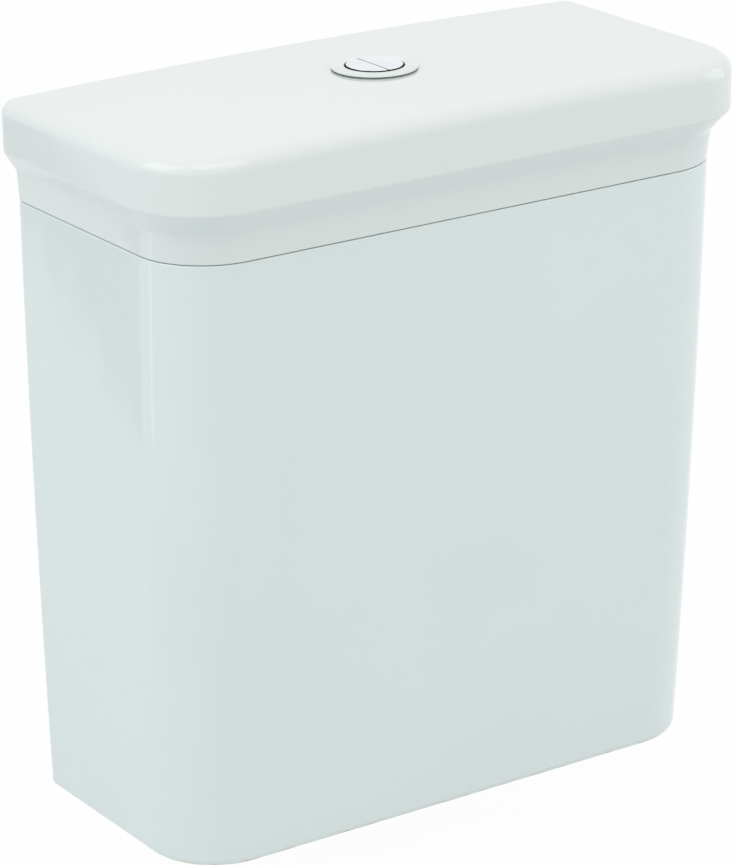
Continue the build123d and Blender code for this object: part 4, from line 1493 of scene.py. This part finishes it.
    def build(self, finishes: Finishes) -> None:
        """Model and dress the button's pieces.

        Args:
            finishes: The finishes to dress them in.
        """
        # The second coat of the half buttons and the ring is near-black painted shade for the gap between
        # them.
        chrome = [finishes.by_slot["chrome_plate"], finishes.gap_shade_plastic]
        ring = [finishes.ring_chrome, finishes.gap_shade_plastic]
        steel = [finishes.by_slot["spring_steel"]]
        finish_piece("surround_ring", self.ring(), "lid", ring, ("button_ring",))
        finish_piece("surround_gasket_painted_shade", self.gasket(), "lid", [finishes.gasket])
        white = [finishes.by_slot["white_plastic"]]
        finish_piece("threaded_housing", self.housing(), "lid", white, ("button_housing",))
        for name, side in (("full", 1), ("half", -1)):
            finish_piece(
                f"{name}_flush_half_button", self.half(side), f"{name}_button", chrome,
                (f"{name}_flush_button",),
            )
            spring = finish_piece(
                f"{name}_return_spring", self.spring(side), "lid", steel,
                (f"{name}_button_spring",), 60.0,
            )
            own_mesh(spring)


# Fixings under the tank


@dataclass
class PanBolts:
    """The two bolts, their nuts and the foam ring under the tank, sizes in millimetres."""

    spots: tuple[Spot, Spot] = (LEFT_BOLT, RIGHT_BOLT)
    shank: float = 4.0
    crest: float = 3.95
    root: float = 3.3
    pitch: float = 1.25
    thread_steps: int = 28
    foot: float = -36.0
    thread_top: float = -1.7
    head_foot: float = 17.6
    head_radius: float = 8.0
    head_height: float = 5.3
    head_side: float = 2.2
    head_edge: float = 0.4
    head_round: float = 1.6
    crown_round: float = 1.5
    crown_share: float = 0.55
    neck_gap: float = 0.15
    foot_cone: float = 0.2
    slot_width: float = 1.8
    slot_depth: float = 2.2
    nut_top: float = -1.6
    nut_height: float = 6.5
    nut_reach: float = 7.5
    nut_bore: float = 4.05
    foam_bore: float = 29.8
    foam_reach: float = 44.8
    foam_nut: float = 38.3
    foam_step: float = -8.8
    foam_bottom: float = -14.5
    foam_foot_round: float = 1.5
    foam_outer_round: float = 3.0
    foam_top_round: float = 2.0
    foam_inner_round: float = 0.8
    outlet: Spot = OUTLET

    def bolt(self, spot: Spot) -> Shape:
        """Model one bolt: a domed, slotted head, a plain neck and a rolled thread.

        Args:
            spot: Its axis, seen from above.

        Returns:
            The bolt.
        """
        dome = self.head_foot + self.head_height
        neck, foot = self.shank - self.neck_gap, self.thread_top - 2 * self.neck_gap
        top = turn(bmesh.new(), [
            (0.0, foot, 0.0), (neck, foot, 0.0), (neck, self.head_foot, 0.0),
            (self.head_radius, self.head_foot, self.head_edge),
            (self.head_radius, self.head_foot + self.head_side, self.head_round),
            (self.head_radius * self.crown_share, dome - 2 * self.neck_gap, self.crown_round),
            (0.0, dome, 0.0),
        ], spot, PLAIN)
        reach, half = self.head_radius + OVERSHOOT, self.slot_width / 2
        slot = block(
            (spot[0] - reach, spot[1] - half, dome - self.slot_depth),
            (spot[0] + reach, spot[1] + half, dome + OVERSHOOT),
        )
        shape = combine(top, slot, Joining.CUT)
        ends = (self.foot, self.thread_top)
        wound = thread(self.crest, self.root, self.pitch, ends, spot, 0.0, self.thread_steps)
        chamfer_foot(wound, self.root - self.foot_cone, self.foot, spot)
        join(shape, wound)
        return shape

    def nut(self, spot: Spot, reach: float, bore: float, low: float, high: float) -> Shape:
        """Model a hexagon nut with turned corners.

        Args:
            spot: Its axis, seen from above.
            reach: From the axis to a corner.
            bore: The radius of its hole.
            low: The level of its underside.
            high: The level of its top.

        Returns:
            The nut.
        """
        hexagon = rod(bmesh.new(), reach, low, high, spot, 6)
        flat, rim, drop = reach * 0.88, reach * 1.02, reach * 0.09
        lens = turn(bmesh.new(), [
            (0.0, low, 0.0), (flat, low, 0.0), (rim, low + drop, 0.0),
            (rim, high - drop, 0.0), (flat, high, 0.0), (0.0, high, 0.0),
        ], spot)
        shape = combine(hexagon, lens, Joining.TRIM)
        return drill(shape, bore, low - OVERSHOOT, high + OVERSHOOT, (spot,), SMALL)

    def foam(self) -> Shape:
        """Turn the foam ring between the tank and the pan, its cut edges a little swollen.

        Returns:
            The foam ring.
        """
        return turn(bmesh.new(), [
            (self.foam_bore, self.foam_bottom, self.foam_foot_round),
            (self.foam_reach, self.foam_bottom, self.foam_outer_round),
            (self.foam_reach, -LAP, self.foam_top_round), (self.foam_nut, -LAP, self.foam_inner_round),
            (self.foam_nut, self.foam_step, 0.0), (self.foam_bore, self.foam_step, self.foam_inner_round),
        ], self.outlet, FINE)

    def build(self, finishes: Finishes) -> None:
        """Model and dress the fixings.

        Args:
            finishes: The finishes to dress them in.
        """
        zinc = [finishes.by_slot["zinc_steel"]]
        bolts = bmesh.new()
        nuts = bmesh.new()
        nut_bottom = self.nut_top - self.nut_height
        for spot in self.spots:
            join(bolts, self.bolt(spot))
            join(nuts, self.nut(spot, self.nut_reach, self.nut_bore, nut_bottom, self.nut_top))
        finish_piece("pan_bolts", bolts, "cistern", zinc, ("coupling_bolts",))
        finish_piece("pan_bolt_nuts", nuts, "cistern", zinc, ("bolt_nuts",))
        foam = [finishes.by_slot["foam_rubber"]]
        finish_piece("foam_ring", self.foam(), "cistern", foam, ("coupling_washer",))


@dataclass
class InletShank:
    """The fill valve's shank: a threaded tail, a flange and the outer riser, sizes in millimetres."""

    spot: Spot = INLET
    crest: float = 10.2
    root: float = 9.2
    pitch: float = 1.814
    thread_steps: int = 56
    foot: float = -28.0
    plain: float = 14.0
    bore: float = 5.0
    flange_radius: float = 17.0
    flange_low: float = 14.5
    flange_high: float = 18.5
    flange_foot_round: float = 0.4
    flange_top_round: float = 0.6
    riser_radius: float = 12.0
    riser_bore: float = 9.45
    riser_top: float = 150.0
    riser_floor: float = 20.5
    riser_round: float = 0.5
    plain_foot: float = 13.4
    foot_cone: float = 0.4

    def build(self, finishes: Finishes) -> None:
        """Model and dress the shank.

        Args:
            finishes: The finishes to dress it in.
        """
        ends = (self.foot, self.plain)
        shape = thread(
            self.crest, self.root, self.pitch, ends, self.spot, self.bore, self.thread_steps,
        )
        chamfer_foot(shape, self.root - self.foot_cone, self.foot, self.spot)
        turn(shape, [
            (self.bore, self.plain_foot, 0.0), (self.crest, self.plain_foot, 0.0),
            (self.crest, self.flange_low, 0.0),
            (self.flange_radius, self.flange_low, self.flange_foot_round),
            (self.flange_radius, self.flange_high, self.flange_top_round),
            (self.riser_radius, self.flange_high, 0.0),
            (self.riser_radius, self.riser_top, self.riser_round),
            (self.riser_bore, self.riser_top, 0.0), (self.riser_bore, self.riser_floor, 0.0),
            (self.bore, self.riser_floor, 0.0),
        ], self.spot)
        white = [finishes.by_slot["white_plastic"]]
        finish_piece("inlet_shank_with_thread", shape, "cistern", white, ("inlet_shank",))


@dataclass(frozen=True)
class Washer:
    """A soft washer or pad pressed a little round at its edges, sizes in millimetres."""

    name: str
    node: str
    body: str
    slot: str
    spots: tuple[Spot, ...]
    bore: float
    reach: float
    low: float
    high: float
    edge: float

    def build(self, finishes: Finishes) -> None:
        """Model and dress one washer at each of its spots.

        Args:
            finishes: The finishes to dress them in.
        """
        shape = bmesh.new()
        inner = self.edge if self.bore else 0.0
        for spot in self.spots:
            turn(shape, [
                (self.bore, self.low, inner), (self.reach, self.low, self.edge),
                (self.reach, self.high, self.edge), (self.bore, self.high, inner),
            ], spot)
        coats = [finishes.by_slot[self.slot]]
        finish_piece(self.name, shape, self.body, coats, (self.node,))


BUMPERS = ((-180.5, -43.3), (-180.5, -121.24), (180.5, -43.3), (180.5, -121.24))
WASHERS = (
    Washer(
        "button_foam_washer", "button_seal", "lid", "foam_rubber", (OUTLET,),
        18.8, 25.6, 402.05, 403.95, 0.7,
    ),
    Washer("lid_bumpers", "lid_pads", "cistern", "clear_rubber", BUMPERS, 0.0, 3.2, 354.95, 355.75, 0.3),
    Washer(
        "bolt_cushions", "bolt_seals", "cistern", "black_rubber", (LEFT_BOLT, RIGHT_BOLT),
        4.05, 14.0, 12.0, 16.0, 0.9,
    ),
    Washer(
        "valve_flat_washer", "valve_base_washer", "cistern", "black_rubber", (OUTLET,),
        29.6, 42.0, 12.0, 15.0, 0.6,
    ),
    Washer(
        "shank_flat_washer", "inlet_washer", "cistern", "black_rubber", (INLET,),
        10.25, 17.0, 12.0, 14.5, 0.5,
    ),
)


# Studio


@dataclass(frozen=True)
class SoftBox:
    """A large soft studio lamp, hidden from the camera, in metres and watts."""

    name: str
    place: Place
    aim: Place
    width: float
    height: float
    power: float
    colour: str = "FFFFFF"

    def hang(self) -> None:
        """Add the lamp to the scene."""
        lamp = bpy.data.lights.new(self.name, "AREA")
        lamp.shape = "RECTANGLE"
        lamp.size = self.width
        lamp.size_y = self.height
        lamp.energy = self.power
        lamp.color = linear(self.colour)[:3]
        holder = link_object(self.name, lamp)
        towards = Vector(self.aim) - Vector(self.place)
        turned = towards.to_track_quat("-Z", "Y").to_matrix().to_4x4()
        holder.matrix_world = Matrix.Translation(self.place) @ turned
        holder.visible_camera = False


@dataclass(frozen=True)
class Card:
    """A card that shows only as a reflection in the glaze and the chrome, in metres."""

    name: str
    foot: Place
    width: float
    height: float
    facing: float
    level: float

    def stand(self) -> None:
        """Stand the card in the studio, turned to its facing in degrees."""
        shape = bmesh.new()
        made = bmesh.ops.create_grid(shape, x_segments=1, y_segments=1, size=0.5)["verts"]
        upright = Matrix.Rotation(radians(90), 4, "X")
        sized = Matrix.Diagonal((self.width, self.height, 1, 1))
        lifted = Matrix.Translation((0, 0, self.height / 2))
        placed = Matrix.Translation(self.foot) @ Matrix.Rotation(radians(self.facing), 4, "Z")
        bmesh.ops.transform(shape, matrix=placed @ lifted @ upright @ sized, verts=made)
        board = bpy.data.materials.new(self.name)
        tree = empty_tree(board)
        glow = add_node(tree, "ShaderNodeEmission", {"Color": linear("FFFFFF"), "Strength": self.level})
        add_node(tree, "ShaderNodeOutputMaterial", {"Surface": glow.outputs[0]})
        card = add_object(self.name, shape, [board])
        for kind in ("camera", "diffuse", "transmission", "volume_scatter", "shadow"):
            setattr(card, f"visible_{kind}", False)


@dataclass
class Studio:
    """A white studio: a pale floor, soft lamps, and the camera at the photograph's angle."""

    floor_level: float = -0.037
    floor_reach: float = 6.0
    floor_colour: str = "E7EDED"
    floor_glow: float = 0.975
    day: str = "E4EEF0"
    day_strength: float = 0.82
    focal_length: float = 167.06
    sensor: float = 36.0
    place: Place = (-1.2116, -1.8773, 0.9806)
    back: Place = (-0.52374, -0.78210, 0.33765)
    up: Place = (0.19820, 0.27360, 0.94120)
    lamps: tuple[SoftBox, ...] = (
        SoftBox("key_softbox", (-0.25, -1.2, 2.1), (0.0, -0.1, 0.25), 2.0, 1.2, 10.5, "FFF4E8"),
        SoftBox("left_softbox", (-1.7, 0.1, 1.7), (0.0, -0.1, 0.2), 1.4, 1.4, 9.5, "F8FBFF"),
        SoftBox("right_softbox", (1.8, -0.7, 0.7), (0.0, -0.1, 0.2), 1.2, 1.5, 5.0, "F4FAFF"),
    )
    cards: tuple[Card, ...] = (
        Card("grey_card", (-0.70, 0.87, -0.037), 0.9, 0.19, 111.0, 0.4),
        Card("left_strip", (-0.68, 0.19, 0.02), 0.045, 0.155, 30.0, 2.0),
    )

    def seen_directly(self, tree: Tree) -> Socket:
        """Tell the rays of the camera, of reflections and through glass from the light's own.

        Args:
            tree: The node tree that gets the nodes.

        Returns:
            1 for such rays, else 0.
        """
        rays = add_node(tree, "ShaderNodeLightPath").outputs
        either = rays["Is Camera Ray"]
        for name in ("Is Glossy Ray", "Is Transmission Ray"):
            inputs = {0: either, 1: rays[name]}
            either = add_node(tree, "ShaderNodeMath", inputs, operation="MAXIMUM").outputs[0]
        return either

    def build_world(self) -> None:
        """Set the white background and the soft daylight that falls on the object."""
        world = bpy.data.worlds.new("white_studio")
        bpy.context.scene.world = world
        tree = empty_tree(world)
        inputs = {"Color": linear(self.day), "Strength": self.day_strength}
        light = add_node(tree, "ShaderNodeBackground", inputs)
        white = add_node(tree, "ShaderNodeBackground", {"Color": linear("FFFFFF"), "Strength": 1.0})
        mixed = add_node(tree, "ShaderNodeMixShader", {
            0: self.seen_directly(tree), 1: light.outputs[0], 2: white.outputs[0],
        })
        add_node(tree, "ShaderNodeOutputWorld", {"Surface": mixed.outputs[0]})

    def build_floor(self) -> None:
        """Lay the pale floor, which glows white but keeps the object's shadow."""
        shape = bmesh.new()
        made = bmesh.ops.create_grid(shape, x_segments=1, y_segments=1, size=self.floor_reach)["verts"]
        bmesh.ops.translate(shape, vec=(0, 0, self.floor_level), verts=made)
        paper = bpy.data.materials.new("white_paper_floor")
        tree = empty_tree(paper)
        matt = add_node(tree, "ShaderNodeBsdfDiffuse", {"Color": linear(self.floor_colour)})
        glow = add_node(tree, "ShaderNodeEmission", {"Color": linear("FFFFFF"), "Strength": 1.0})
        share = add_node(
            tree, "ShaderNodeMath", {0: self.seen_directly(tree), 1: self.floor_glow}, operation="MULTIPLY",
        )
        mixed = add_node(tree, "ShaderNodeMixShader", {
            0: share.outputs[0], 1: matt.outputs[0], 2: glow.outputs[0],
        })
        add_node(tree, "ShaderNodeOutputMaterial", {"Surface": mixed.outputs[0]})
        add_object("studio_floor", shape, [paper])

    def build_camera(self) -> None:
        """Place the camera where the photograph was taken from."""
        lens = bpy.data.cameras.new("photo_camera")
        lens.lens = self.focal_length
        lens.sensor_width = self.sensor
        lens.sensor_fit = "AUTO"
        camera = link_object("photo_camera", lens)
        back = Vector(self.back).normalized()
        right = Vector(self.up).cross(back).normalized()
        turned = Matrix((right, back.cross(right), back)).transposed().to_4x4()
        camera.matrix_world = Matrix.Translation(self.place) @ turned
        bpy.context.scene.camera = camera

    def build(self) -> None:
        """Set up the whole studio."""
        self.build_camera()
        self.build_world()
        self.build_floor()
        for lamp in self.lamps:
            lamp.hang()
        for card in self.cards:
            card.stand()
        bpy.context.scene.view_settings.view_transform = "Standard"


def main() -> None:
    """Build the cistern in order."""
    logging.basicConfig(level=logging.INFO, format="%(relativeCreated)d ms %(name)s: %(message)s")
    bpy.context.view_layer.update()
    Studio().build()
    finishes = Finishes()
    finishes.dress_solids()
    for assembly in (Tank(), Lid(), PushButton(), PanBolts(), InletShank(), *WASHERS):
        assembly.build(finishes)


if __name__ == "__main__":
    main()
